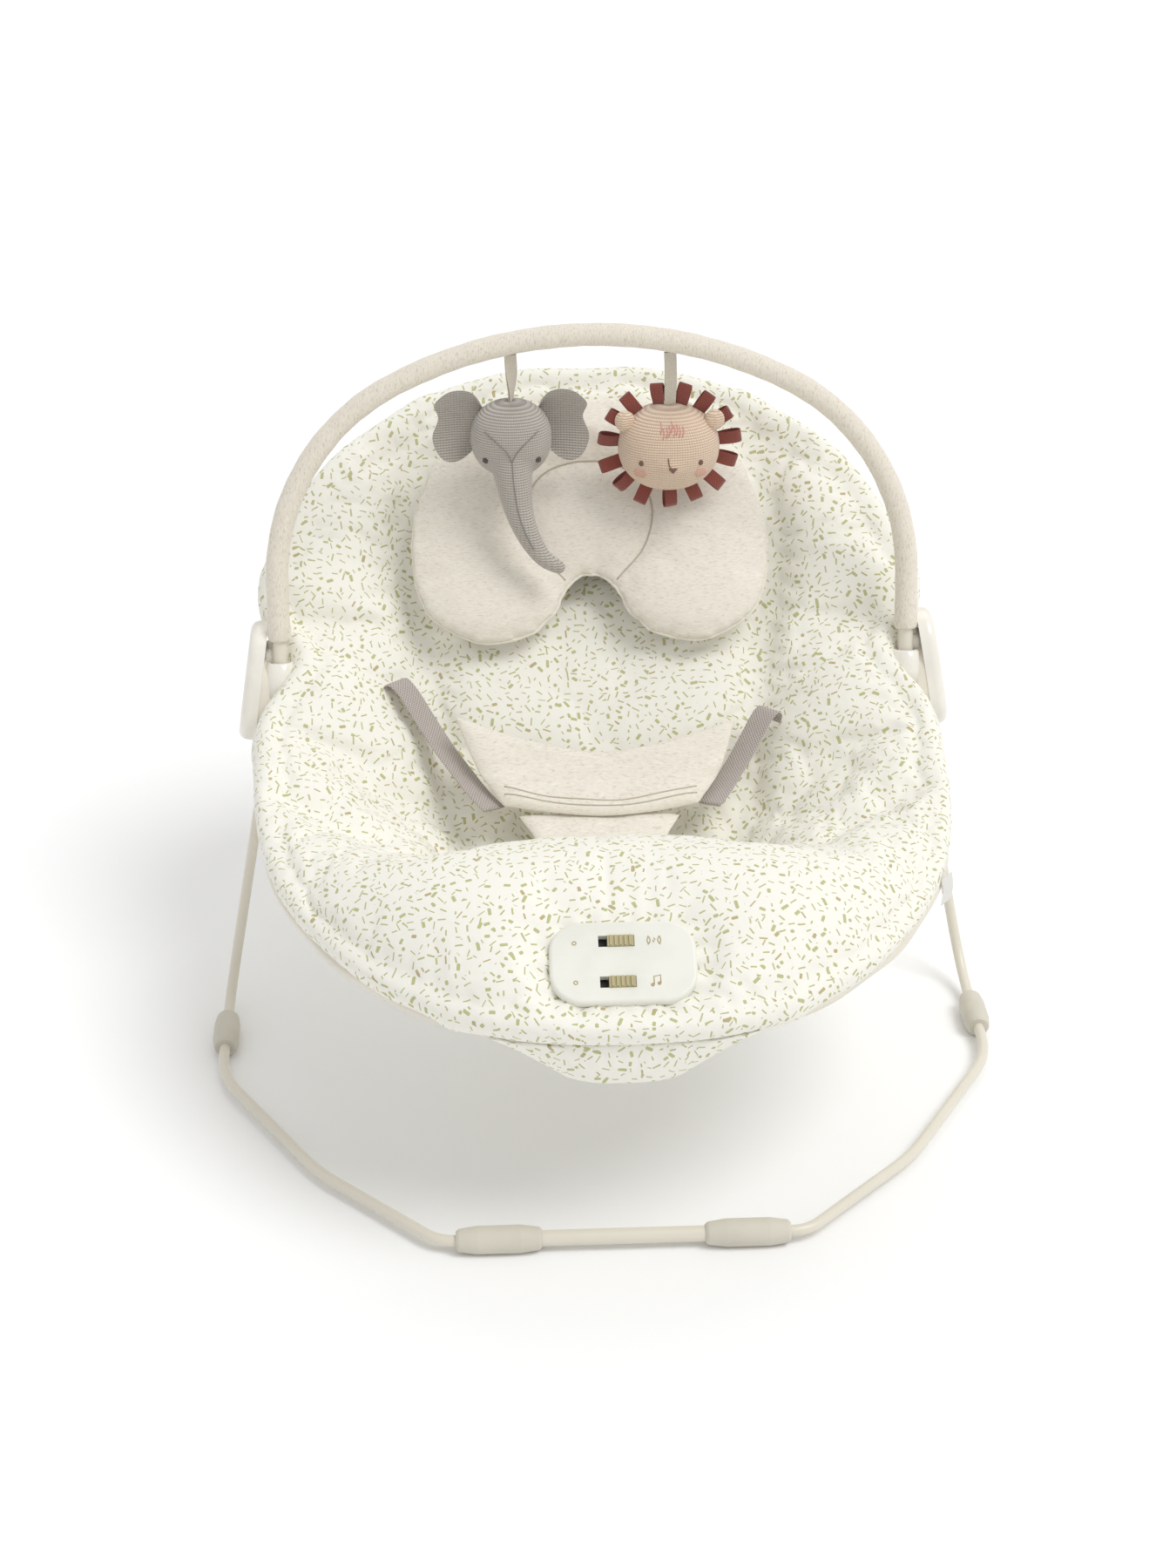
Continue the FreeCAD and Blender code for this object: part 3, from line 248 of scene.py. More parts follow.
def painted(name, colour):
    """Powder-coated steel tube: satin with a fine orange peel."""
    made = Finish(name, srgb(*colour), 0.36, Coat_Weight=0.25, Coat_Roughness=0.2)
    peel = made.noise(0.0016, 2)
    broad = made.noise(0.05, 2)
    made.set("Roughness", 0.3 + 0.14 * broad)
    made.set("Base Color", made.mix(broad, made.colour, srgb(*[v * 0.97 for v in colour])))
    made.bump(peel, 0.00004)
    return made


def plated(name, colour, roughness):
    """Plated metal with fine scratches along one way."""
    made = Finish(name, srgb(*colour), roughness, Metallic=1.0)
    scratches = made.noise(0.0006, 3, stretch=(1, 14, 1))
    made.set("Roughness", roughness - 0.08 + 0.2 * scratches)
    made.bump(scratches, 0.00001)
    return made


def woven(name, colour, painted_shade, pitch, depth, sheen=0.25):
    """Woven tape whose threads follow the piece's own length (V) and width (U), in metres."""
    made = Finish(name, srgb(*colour), 0.85, Sheen_Weight=sheen)
    across, along, _ = made.axes(made.place("UV"))
    turn = math.pi / pitch
    over = (across * turn).wave() * (along * turn).wave()
    threads = made.noise(0.0012, 2)
    mask = made.spread(over + 0.6 * threads, 0.0, 0.9)
    # painted shade: the darker second colour fills the dips between the threads, where the bump is low
    made.set("Base Color", made.mix(mask, srgb(*painted_shade), made.colour))
    made.set("Roughness", 0.78 + 0.14 * threads)
    made.bump(0.5 + 0.5 * over + 0.3 * threads, depth)
    return made


def marl(name, colour, fleck, lean=(1, 1, 6)):
    """Jersey of a marl yarn: fine short flecks lying one way, with a soft knitted face."""
    made = Finish(name, srgb(*colour), 0.9, Sheen_Weight=0.3, Sheen_Roughness=0.5)
    flecks = made.noise(0.0042, 4, stretch=lean, rough=0.62)
    broad = made.noise(0.02, 2)
    mask = made.spread(flecks, 0.5, 0.72)
    pale = srgb(*[min(255, v * 1.045) for v in colour])
    light = made.mix(made.spread(flecks, 0.28, 0.46), pale, made.colour)
    made.set("Base Color", made.mix(mask * 0.75, light, srgb(*fleck)))
    made.set("Roughness", 0.84 + 0.1 * broad)
    stitches = made.noise(0.0007, 2)
    made.bump(stitches, 0.00012)
    return made


def printed(name, ground, marks):
    """Cotton with small printed chips scattered over it at any angle, in two colours."""
    made = Finish(name, srgb(*ground), 0.82, Sheen_Weight=0.15)
    place = made.place()
    normal = made.place("Normal")
    cell = made.node("ShaderNodeTexVoronoi", sockets={
        "Vector": place, "Scale": 1 / 0.0075, "Randomness": 0.8})
    away = made.vectors("SUBTRACT", place, cell.of("Position"))
    lift = made.vectors("DOT_PRODUCT", away, normal, 1)
    away = made.vectors("SUBTRACT", away, made.node(
        "ShaderNodeVectorMath", {"operation": "SCALE"}, {0: normal, "Scale": lift}))
    red, green, blue = made.axes(cell.of("Color"))
    way = made.vectors("SUBTRACT", cell.of("Color"), (0.5, 0.5, 0.5))
    side = made.node("ShaderNodeVectorMath", {"operation": "NORMALIZE"}, {
        0: made.vectors("CROSS_PRODUCT", normal, way)})
    end = made.vectors("CROSS_PRODUCT", normal, side)
    long = made.vectors("DOT_PRODUCT", away, end, 1).size()
    wide = made.vectors("DOT_PRODUCT", away, side, 1).size()
    odd = (blue * 7.13 + red * 3.7).maths("FRACT")
    chip = (odd > 0.76) * 0.0005
    half_long = 0.0013 + 0.0021 * green
    half_wide = 0.0004 + 0.00035 * odd + chip
    mark = (long + 0.35 * wide < half_long) * (wide < half_wide)
    tan = (red * 5.3 + green * 2.9).maths("FRACT") > 0.9
    ink = made.mix(tan, srgb(*marks[0]), srgb(*marks[1]))
    broad = made.noise(0.05, 2)
    cloth = made.mix(broad, made.colour, srgb(*[v * 0.985 for v in ground]))
    made.set("Base Color", made.mix(mark * 0.92, cloth, ink))
    threads = made.noise(0.0006, 2)
    made.set("Roughness", 0.76 + 0.12 * threads)
    soft = made.noise(0.009, 3, rough=0.45)
    creases = made.bump(soft, 0.0011, 0.5)
    made.bump(threads, 0.00005, over=creases)
    return made


def knitted(name, colour, painted_shade, middle=None):
    """Hand-knit yarn: rows of small V stitches, round an upright axis through middle or on a flat piece."""
    made = Finish(name, srgb(*colour), 0.9, Sheen_Weight=0.4, Sheen_Roughness=0.45)
    place = made.place()
    if middle:
        place = made.vectors("SUBTRACT", place, middle)
    x, y, z = made.axes(place)
    round_way = x.maths("ARCTAN2", y) * YARN_RADIUS if middle else x
    wobble = made.noise(0.006, 2) * 0.8
    column = (round_way * (math.pi / (YARN_ROW * 1.15)) + wobble).wave()
    rows = (z * (math.pi / YARN_ROW) + column.size() * 0.9).wave().size()
    stitch = rows * (0.45 + 0.55 * column.size())
    fluff = made.noise(0.0005, 3)
    # painted shade: the darker second colour fills the gaps between stitches and rows, where the bump is low
    made.set("Base Color", made.mix(made.spread(stitch + 0.25 * fluff, 0.1, 0.75), srgb(*painted_shade), made.colour))
    made.set("Roughness", 0.8 + 0.15 * fluff)
    made.bump(stitch + 0.25 * fluff, 0.0007)
    return made


def thread(name, colour):
    """Sewing or embroidery thread: a fine twist."""
    made = Finish(name, srgb(*colour), 0.7, Sheen_Weight=0.3)
    twist = made.noise(0.0004, 2, stretch=(1, 1, 3))
    made.set("Roughness", 0.6 + 0.25 * twist)
    # painted shade: the thread is darker in the low grooves of its twist, keyed to the bump
    made.set("Base Color", made.mix(twist, srgb(*[v * 0.86 for v in colour]), made.colour))
    made.bump(twist, 0.00006)
    return made


paint_coat = painted("frame_paint_cream", (226, 220, 205))
foot_grip = moulded("foot_rubber_stone", (211, 206, 192), 0.62)
hub_gloss = moulded("hub_shell_white", (240, 236, 226), 0.22, depth=0.000006,
                    Coat_Weight=0.4, Coat_Roughness=0.1)
hub_satin = moulded("hub_core_cream", (232, 226, 212), 0.45)
screw_metal = plated("screw_zinc", (190, 190, 188), 0.35)
cotton = printed("seat_cotton_print", (241, 239, 229), ((181, 181, 126), (180, 164, 116)))
oatmeal = marl("oatmeal_jersey", (231, 225, 213), (203, 194, 178))
sleeve_marl = marl("oatmeal_jersey_sleeve", (226, 219, 205), (192, 182, 164), (4, 2, 1.2))
# each woven finish's second colour is painted shade for the dips between its threads
strap_web = woven("strap_webbing_mauve", (202, 194, 187), (158, 148, 142), 0.0013, 0.0005)
hem_thread = thread("hem_thread_beige", (201, 190, 170))
label_cloth = woven("bare_label_cloth", (238, 236, 230), (214, 212, 206), 0.0005, 0.0001)
clip_plastic = moulded("buckle_plastic_charcoal", (78, 74, 72), 0.4)
panel_white = moulded("panel_plastic_cream", (233, 232, 222), 0.38, depth=0.000014)
slide_khaki = moulded("slider_plastic_khaki", (182, 172, 130), 0.45)
tray_plastic = moulded("housing_plastic_cream", (224, 219, 206), 0.5)
cell_case = moulded("cell_case_copper", (160, 112, 70), 0.3)
contact_metal = plated("contact_spring_nickel", (200, 198, 190), 0.3)
board_green = moulded("circuit_board_green", (42, 92, 58), 0.4)
motor_steel = plated("motor_steel", (176, 176, 178), 0.32)
speaker_black = moulded("speaker_black", (40, 40, 42), 0.55)
ribbon_tape = woven("toy_ribbon_ivory", (222, 214, 198), (184, 176, 160), 0.0009, 0.0003)
mane_tape = woven("mane_ribbon_rust", (158, 78, 62), (112, 50, 42), 0.0008, 0.0003, 0.5)
mark_ink = thread("panel_mark_khaki", (190, 172, 122))


# ---------------------------------------------------------------- making pieces


def merged(pieces):
    """The vertices, faces and UVs of several meshes as one."""
    vertices, faces, uvs = [], [], []
    for part_vertices, part_faces, *part_uvs in pieces:
        start = len(vertices)
        vertices += [tuple(v) for v in part_vertices]
        faces += [tuple(start + i for i in f) for f in part_faces]
        for values in part_uvs:
            uvs += values
    return vertices, faces, uvs


def shown(name, data):
    """An object in the scene for a mesh, a lamp or a camera."""
    made = bpy.data.objects.new(name, data)
    bpy.context.scene.collection.objects.link(made)
    return made


def joined(name, *pieces):
    """One object made of several closed meshes."""
    vertices, faces, uvs = merged(pieces)
    mesh = bpy.data.meshes.new(name)
    mesh.from_pydata(vertices, [], faces)
    if uvs:
        layer = mesh.uv_layers.new(name="UVMap")
        for loop in mesh.loops:
            layer.data[loop.index].uv = uvs[loop.vertex_index]
    return shown(name, mesh)


def dress(made, body, finish, replaces=()):
    mesh = made.data
    mesh.materials.clear()
    mesh.materials.append(finish.material)
    mesh.polygons.foreach_set("use_smooth", [True] * len(mesh.polygons))
    tidy = bmesh.new()
    tidy.from_mesh(mesh)
    bmesh.ops.recalc_face_normals(tidy, faces=tidy.faces)
    tidy.to_mesh(mesh)
    tidy.free()
    if body:
        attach(made, body)
    if replaces:
        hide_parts(*replaces)
    return made


def use(made):
    for other in bpy.context.selected_objects:
        other.select_set(False)
    made.select_set(True)
    bpy.context.view_layer.objects.active = made


def settle(made, kind, **settings):
    """Adds a modifier and applies it."""
    modifier = made.modifiers.new(kind.title(), kind)
    for name, value in settings.items():
        setattr(modifier, name, value)
    use(made)
    bpy.ops.object.modifier_apply(modifier=modifier.name)
    return made


def points_of(made):
    out = np.zeros(len(made.data.vertices) * 3)
    made.data.vertices.foreach_get("co", out)
    return out.reshape(-1, 3)


def move_points(made, points):
    made.data.vertices.foreach_set("co", np.asarray(points, float).ravel())
    made.data.update()


def stuff(made, pins, pressure=4.0, most=0.01, slack=0.0, frames=20, stiffness=12.0):
    """Inflates a closed mesh as cloth between its pinned points, and caps how far each point moves."""
    before = points_of(made)
    group = made.vertex_groups.new(name="pins")
    for index in np.nonzero(pins > 0)[0]:
        group.add([int(index)], float(pins[index]), "REPLACE")
    modifier = made.modifiers.new("Cloth", "CLOTH")
    cloth = modifier.settings
    cloth.vertex_group_mass = "pins"
    cloth.use_pressure = True
    cloth.uniform_pressure_force = pressure
    cloth.tension_stiffness = stiffness
    cloth.compression_stiffness = stiffness
    cloth.shear_stiffness = 4.0
    cloth.bending_stiffness = 0.4
    cloth.air_damping = 4.0
    cloth.quality = 5
    cloth.shrink_min = -slack
    cloth.effector_weights.gravity = 0.0
    modifier.collision_settings.use_collision = False
    modifier.collision_settings.use_self_collision = False
    modifier.point_cache.frame_start = 1
    modifier.point_cache.frame_end = frames
    for step in range(1, frames + 1):
        bpy.context.scene.frame_set(step)
    use(made)
    bpy.ops.object.modifier_apply(modifier=modifier.name)
    bpy.context.scene.frame_set(1)
    moved = points_of(made) - before
    length = np.linalg.norm(moved, axis=1, keepdims=True) + 1e-9
    move_points(made, before + moved * (most * np.tanh(length / most) / length))
    made.vertex_groups.clear()


def sweep(points, radii, sides=16, flat=None, first=None):
    """Vertices, faces and lengthwise UVs of a tube; flat=(across, thick) gives a strap's section instead."""
    p = np.array([list(q) for q in points], float)
    along = np.gradient(p, axis=0)
    along /= np.linalg.norm(along, axis=1, keepdims=True)
    side = np.array(first if first is not None else (0, 0, 1.0), float)
    side -= along[0] * side.dot(along[0])
    if np.linalg.norm(side) < 1e-3:
        side = np.cross(along[0], (1, 0, 0))
    side /= np.linalg.norm(side)
    vertices, uvs = [], []
    run = np.concatenate([[0], np.cumsum(np.linalg.norm(np.diff(p, axis=0), axis=1))])
    for i, here in enumerate(p):
        side = side - along[i] * side.dot(along[i])
        side /= np.linalg.norm(side)
        third = np.cross(along[i], side)
        for k in range(sides):
            angle = 2 * math.pi * k / sides
            if flat:
                c, s = math.cos(angle), math.sin(angle)
                c = math.copysign(abs(c) ** 0.35, c)
                s = math.copysign(abs(s) ** 0.6, s)
                scale = radii[i] if radii is not None else 1.0
                vertices.append(here + side * flat[0] / 2 * c * scale + third * flat[1] / 2 * s)
                uvs.append((flat[0] / 2 * c, run[i]))
            else:
                vertices.append(here + (side * math.cos(angle) + third * math.sin(angle)) * radii[i])
                uvs.append((angle * radii[i], run[i]))
    faces = []
    for i in range(len(p) - 1):
        for k in range(sides):
            a, b = i * sides + k, i * sides + (k + 1) % sides
            faces.append((a, b, b + sides, a + sides))
    faces.append(tuple(range(sides))[::-1])
    faces.append(tuple(range((len(p) - 1) * sides, len(p) * sides)))
    return vertices, faces, uvs


def tube(name, points, radii, body, finish, replaces=(), sides=16):
    return dress(joined(name, sweep(points, radii, sides)), body, finish, replaces)


def strap(name, points, width, replaces, first):
    """Flat webbing on the seat; first is the way its width lies at its first point."""
    made = joined(name, sweep(points, None, 20, flat=(width, 0.0018), first=first))
    dress(made, "seat", strap_web, replaces)


def sewn(name, line, radius, body, finish):
    """A line of thread."""
    return tube(name, line, [radius] * len(line), body, finish, sides=8)


def two_layers(tall, wide):
    """Faces of a sheet of tall by wide points and of a second such layer under it."""
    count = wide * tall
    faces = []
    for i in range(tall - 1):
        for j in range(wide - 1):
            a = i * wide + j
            faces.append((a, a + 1, a + wide + 1, a + wide))
            faces.append((a + count, a + count + wide, a + count + wide + 1, a + count + 1))
    return faces


def edge_of(tall, wide):
    """Indices of the points round a sheet's edge."""
    ring = list(range(wide)) + [i * wide + wide - 1 for i in range(1, tall)]
    ring += [(tall - 1) * wide + j for j in range(wide - 2, -1, -1)]
    return ring + [i * wide for i in range(tall - 2, 0, -1)]


def closed_sheet(tall, wide):
    """The faces of two layers closed round their edge."""
    ring = edge_of(tall, wide)
    count = wide * tall
    return two_layers(tall, wide) + [(a, a + count, b + count, b) for a, b in zip(ring, ring[1:] + ring[:1])]


def surface_of(made):
    """A search tree over a piece's mesh, for laying stitches on it."""
    vertices = [made.matrix_world @ v.co for v in made.data.vertices]
    return BVHTree.FromPolygons(vertices, [tuple(f.vertices) for f in made.data.polygons])


def laid(tree, points, lift):
    """Points moved to the nearest place on a surface and lifted off it."""
    hits = [tree.find_nearest(Vector(p)) for p in points]
    return [hit[0] + hit[1] * lift for hit in hits]


def dropped(tree, points, way):
    """Points cast along a way onto a surface and lifted just off it; a miss is left out."""
    hits = [tree.ray_cast(Vector(p), way) for p in points]
    return [hit[0] + hit[1] * 0.0001 for hit in hits if hit[0] is not None]


def seen_from_front(tree, points, lift):
    """Points cast along +Y onto a surface and lifted off it."""
    out = []
    for p in points:
        hit = tree.ray_cast(Vector((p[0], p[1] - 0.3, p[2])), Vector((0, 1, 0)))
        if hit[0] is None:
            hit = tree.find_nearest(Vector(p))
        out.append(hit[0] + hit[1] * lift)
    return out


def stitcher(head, made, body):
    """A function that lays threads on the front of a toy's head, at (x, z) points from its centre."""
    tree = surface_of(made)

    def stitch(name, points, radius, finish, lift=0.0001, sides=8):
        line = seen_from_front(tree, [head + Vector((x, -40, z)) * MM for x, z in points], lift)
        radii = radius if isinstance(radius, list) else [radius] * len(line)
        tube(name, line, radii, body, finish, sides=sides)
    return stitch


def remeshed(made, voxel, rounds=4):
    settle(made, "REMESH", mode="VOXEL", voxel_size=voxel, adaptivity=0.0)
    settle(made, "SMOOTH", factor=0.5, iterations=rounds)
    return made


def globe(centre, half, rings=24, around=36, power=2.0):
    """Vertices and faces of a rounded ball with half-sizes half."""
    vertices = [Vector((0, 0, -half[2])) + centre]
    for i in range(1, rings):
        tall = -math.pi / 2 + math.pi * i / rings
        for k in range(around):
            turn = 2 * math.pi * k / around
            v = [math.cos(tall) * math.cos(turn), math.cos(tall) * math.sin(turn), math.sin(tall)]
            v = [math.copysign(abs(q) ** (2 / power), q) for q in v]
            vertices.append(Vector((v[0] * half[0], v[1] * half[1], v[2] * half[2])) + centre)
    vertices.append(Vector((0, 0, half[2])) + centre)
    faces = [(0, 1 + (k + 1) % around, 1 + k) for k in range(around)]
    for i in range(rings - 2):
        for k in range(around):
            a, b = 1 + i * around + k, 1 + i * around + (k + 1) % around
            faces.append((a, b, b + around, a + around))
    last = 1 + (rings - 2) * around
    faces += [(last + k, last + (k + 1) % around, len(vertices) - 1) for k in range(around)]
    return vertices, faces


# ---------------------------------------------------------------- the seat cover


def cover_rows():
    """The pad's underside as rows from the front edge to the top of the back: middle, shoulder, rim."""
    lift = 5.3
    up = lift * math.cos(BACK_LEAN)

    def back(x, rise):
        along = rise * math.cos(BACK_LEAN)
        return (x, 408 + along - up, 238 + along + up)

    return [
        [(0, -11.7, 182), (62, -6, 182), (112, 12, 177 + lift)],
        [(0, 30, 202), (84, 36, 202), (158, 50, 180 + lift)],
        [(0, 84, 224), (108, 86, 222), (196, 100, 183 + lift)],
        [(0, 140, 222), (125, 140, 218), (226, 156, 190 + lift)],
        [(0, 190, 186), (132, 186, 196), (243, 220, 201 + lift)],
        [(0, 235, 136), (124, 240, 160), (249, 290, 212.5 + lift)],
        [(0, 290, 126), (120, 305, 150), (247, 350, 234)],
        [(0, 350, 160), (124, 360, 184), (222, 395, 259)],
        [(0, 420, 214), (130, 428, 236), back(246, 47)],
        [(0, 451, 245), (126, 457, 265), back(249, 77)],
        [(0, 482, 276), (122, 486, 294), back(236, 108)],
        [(0, 540, 340), (92, 540, 352), back(196, 174)],
        [back(0, 247), back(56, 246), back(128, 225)],
    ]


ACROSS, UPWARD = 81, 121     # fine points of the cover, across and upward
PAD = 12 * MM                # the stuffed cover's thickness


def cover_grid():
    """Fine points of the underside, [upward][across], and the square direction at each."""
    rows = []
    for row in cover_rows():
        half = [at(*p) for p in row]
        full = [Vector((-p.x, p.y, p.z)) for p in reversed(half[1:])] + half
        rows.append(through(full, ACROSS))
    rows = np.array(rows)
    fine = np.array([through(rows[:, j], UPWARD) for j in range(ACROSS)]).transpose(1, 0, 2)
    for _ in range(6):
        inner = fine.copy()
        inner[1:-1, 1:-1] = (fine[:-2, 1:-1] + fine[2:, 1:-1] + fine[1:-1, :-2] + fine[1:-1, 2:]) / 4
        fine = inner
    upward = np.gradient(fine, axis=0)
    across = np.gradient(fine, axis=1)
    normal = np.cross(across, upward)
    normal /= np.linalg.norm(normal, axis=2, keepdims=True)
    return fine, normal


def cover_place(u, v):
    """Grid position from across u (-1 to 1) and row number v (0 to 12)."""
    return (v / 12 * (UPWARD - 1), (u + 1) / 2 * (ACROSS - 1))


def cover_seams():
    """The sewn lines of the cover, as (u, v): the front cushion's crease, the back's foot and its sides."""
    crease = [(-1, 4.6), (-0.75, 4.5), (-0.5, 4.15), (-0.25, 4.1)]
    crease += [(0, 4.25)] + [(-u, v) for u, v in reversed(crease)]
    wing = [(0.5, 4.15), (0.47, 5), (0.46, 6), (0.48, 7), (0.5, 8), (0.54, 9), (0.6, 10), (0.74, 11),
            (1, 11.4)]
    foot = [(-0.45, 7.2), (-0.2, 7.0), (0.2, 7.0), (0.45, 7.2)]
    return [crease, foot] + [[(side * u, v) for u, v in wing] for side in SIDES.values()]


def make_cover():
    """The padded cover: one closed skin round its stuffing and the tube, sewn down along its seams."""
    under, normal = cover_grid()
    rows, columns = under.shape[:2]
    seam_points = []
    for seam in cover_seams():
        for u, v in through(seam, 90):
            i, j = cover_place(min(max(u, -1), 1), v)
            seam_points.append(under[int(round(i)), int(round(j))])
    flat_under = under.reshape(-1, 3)
    gap = gap_to(flat_under, np.array(seam_points)).reshape(rows, columns)
    ring = edge_of(rows, columns)
    to_rim = gap_to(flat_under, flat_under[ring]).reshape(rows, columns)
    thick = PAD * (0.42 + 0.58 * eased(gap / 0.03)) + 0.003 * eased(to_rim / 0.05) * eased(gap / 0.05)
    thick = np.where(to_rim < 0.012, PAD - (1 - eased(gap / 0.02)) * 0.004, thick)
    over = under + normal * thick[..., None]
    by_hub = np.exp(-(((under[..., 1] - at(0, 352, 0).y) / 0.034) ** 2)) * (np.abs(under[..., 0]) > 0.19)
    behind = eased((under[..., 1] - 0.13) / 0.05)
    roll = (7.5 + 2.0 * behind) * MM
    hem = 1.8 * MM + (11.2 + 3.3 * behind + 14 * by_hub) * MM * (1 - eased(to_rim / (0.03 + 0.012 * behind)))
    below = under - normal * hem[..., None]
    vertices = [tuple(p) for p in over.reshape(-1, 3)] + [tuple(p) for p in below.reshape(-1, 3)]
    count = rows * columns
    faces = two_layers(rows, columns)
    flat_normal = normal.reshape(-1, 3)
    places = flat_under[ring]
    ways = np.roll(places, -2, 0) - np.roll(places, 2, 0)
    ways /= np.linalg.norm(ways, axis=1, keepdims=True)
    steps = 7
    strips = [ring]
    for step in range(1, steps):
        angle = math.pi / 2 - math.pi * step / steps
        strip = []
        for way, index in zip(ways, ring):
            square = flat_normal[index]
            out = np.cross(way, square)
            tall = PAD if angle > 0 else hem.flat[index]
            strip.append(len(vertices))
            vertices.append(tuple(flat_under[index] + out * (roll.flat[index] * math.cos(angle))
                                  + square * tall * math.sin(angle)))
        strips.append(strip)
    strips.append([count + index for index in ring])
    for first, second in zip(strips, strips[1:]):
        for k in range(len(ring)):
            n = (k + 1) % len(ring)
            faces.append((first[k], second[k], second[n], first[n]))
    skin = joined("seat_cover", (vertices, faces))
    dress(skin, None, cotton)
    hole = joined("hole", panel_block(43, 24, -40, 20))
    settle(skin, "BOOLEAN", operation="DIFFERENCE", object=hole, solver="EXACT")
    bpy.data.objects.remove(hole)
    remeshed(skin, 0.005, 2)
    tree = KDTree(count)
    for index, p in enumerate(flat_under):
        tree.insert(p, index)
    tree.balance()
    points = points_of(skin)
    nearest = np.array([tree.find(p)[1] for p in points])
    height = np.einsum("ij,ij->i", points - flat_under[nearest], flat_normal[nearest])
    seam_gap = gap.reshape(-1)[nearest]
    rim_gap = to_rim.reshape(-1)[nearest]
    local = np.array([panel_local(p) for p in points])
    off_panel = np.hypot(np.maximum(np.abs(local[:, 0]) - 26, 0), np.maximum(np.abs(local[:, 1]) - 7, 0)) - 22
    pins = np.where(height < 0.004, 1.0, 0.0)
    pins = np.maximum(pins, 1 - eased((seam_gap - 0.003) / 0.006))
    pins = np.maximum(pins, 1 - eased((off_panel - 3) / 6))
    pins = np.maximum(pins, 0.9 * (1 - eased(rim_gap / 0.012)))
    stuff(skin, pins, pressure=4.0, most=0.011, slack=0.05)
    points = points_of(skin)
    local = np.array([panel_local(p) for p in points])
    near = (1 - eased((off_panel + 1) / 26)) * (height > 0.002)
    wanted = -3.0 + 2.5 * np.sin(np.arctan2(local[:, 1], local[:, 0]) * 17) * (1 - eased(off_panel / 14))
    shift = (wanted - local[:, 2]) * near * (np.abs(local[:, 2]) < 30)
    face = panel_turn() @ Vector((0, 0, 1))
    move_points(skin, points + np.outer(shift * MM, np.array(face)))
    settle(skin, "SUBSURF", levels=1, render_levels=1)
    dress(skin, "seat", cotton, (
        "cover_front_cushion", "cover_seat_panel", "cover_back_panel", "cover_wing_left", "cover_wing_right"))
    return skin


# ---------------------------------------------------------------- the control panel


PANEL = (0, 25, 213)
PANEL_SLOPE = math.radians(32)


def panel_turn():
    return Matrix.Rotation(PANEL_SLOPE, 3, "X")


def on_panel(x, y, z):
    """A point in metres from millimetres in the panel's own plane; y runs up its slope."""
    return at(*PANEL) + panel_turn() @ Vector((x, y, z)) * MM


def panel_local(p):
    v = panel_turn().inverted() @ (Vector(p) - at(*PANEL)) / MM
    return (v.x, v.y, v.z)


def panel_block(half_x, half_y, low, high, corner=18):
    """An upright rounded block in the panel's frame."""
    outline = []
    for cx, cy, start in ((1, 1, 0), (-1, 1, 90), (-1, -1, 180), (1, -1, 270)):
        for k in range(7):
            a = math.radians(start + 15 * k)
            outline.append((cx * (half_x - corner) + corner * math.cos(a),
                            cy * (half_y - corner) + corner * math.sin(a)))
    n = len(outline)
    vertices = [on_panel(x, y, low) for x, y in outline] + [on_panel(x, y, high) for x, y in outline]
    faces = [tuple(range(n))[::-1], tuple(range(n, 2 * n))]
    faces += [(k, (k + 1) % n, n + (k + 1) % n, n + k) for k in range(n)]
    return vertices, faces


def mark(name, points, radius=0.00035):
    """A thin printed line on the panel's face."""
    tree = surface_of(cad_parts["control_panel"])
    face = panel_turn() @ Vector((0, 0, 1))
    line = []
    for x, y in points:
        where = tree.ray_cast(on_panel(x, y, 20), -face)[0]
        line.append((where or on_panel(x, y, 5)) + face * 0.00005)
    dress(joined(name, sweep(line, [radius] * len(line), 8, first=face)), "seat", mark_ink)


def arc(x, y, radius, start, end, count=12):
    turns = [math.radians(start + (end - start) * k / (count - 1)) for k in range(count)]
    return [(x + radius * math.cos(a), y + radius * math.sin(a)) for a in turns]


def make_panel_marks():
    """An o for off beside each slot, waves for vibration and a note for music."""
    for word, y in (("vibration", 14), ("music", -15)):
        mark(f"mark_off_{word}", arc(-32, y, 1.3, 0, 350))
    steps = (-1, -0.5, 0, 0.5, 1)
    for word, side in SIDES.items():
        mark(f"mark_wave_{word}", [(21 + side * (2.4 + 0.8 * abs(v)), 15 + v * 2.4) for v in steps])
        mark(f"mark_wave_wide_{word}", [(21 + side * (4.6 - 0.9 * abs(v)), 15 + v * 3.2) for v in steps])
    mark("mark_wave_core", [(21, 13.4), (20.2, 14.4), (21.8, 15.6), (21, 16.6)])
    mark("mark_note_stems", [(19.6, -17.6), (19.6, -11.8), (24.0, -10.8), (24.0, -16.6)])
    mark("mark_note_head_left", arc(18.6, -17.8, 0.8, 0, 350), radius=0.0005)
    mark("mark_note_head_right", arc(23.0, -16.8, 0.8, 0, 350), radius=0.0005)


# ---------------------------------------------------------------- the front apron


def make_apron():
    """The gathered pocket of cover cloth that hangs below the front edge, round the control housing."""
    wide, tall = 45, 13
    half_top, half_foot = 92, 38
    vertices = []
    for layer in (0, 1):
        for i in range(tall):
            t = i / (tall - 1)
            half = half_top + (half_foot - half_top) * t ** 0.85
            for j in range(wide):
                s = 2 * j / (wide - 1) - 1
                pleat = 0.9 * math.sin(s * 31 + 2.2 * math.sin(5 * s)) * (1 - t) ** 1.5
                bow = 2.2 * math.sin(math.pi * t) * (1 - s * s)
                y = -11.5 - bow - pleat + 9 * abs(s) ** 3 + layer * 4.2
                z = 172 - 32.5 * t + 2.5 * abs(s) ** 4 * (1 - t)
                vertices.append(at(half * s, y + 3 * t, z))
    apron = joined("apron_pocket", (vertices, closed_sheet(tall, wide)))
    settle(apron, "SUBSURF", levels=2, render_levels=2)
    dress(apron, "seat", cotton, ("cover_apron",))


# ---------------------------------------------------------------- the head pillow


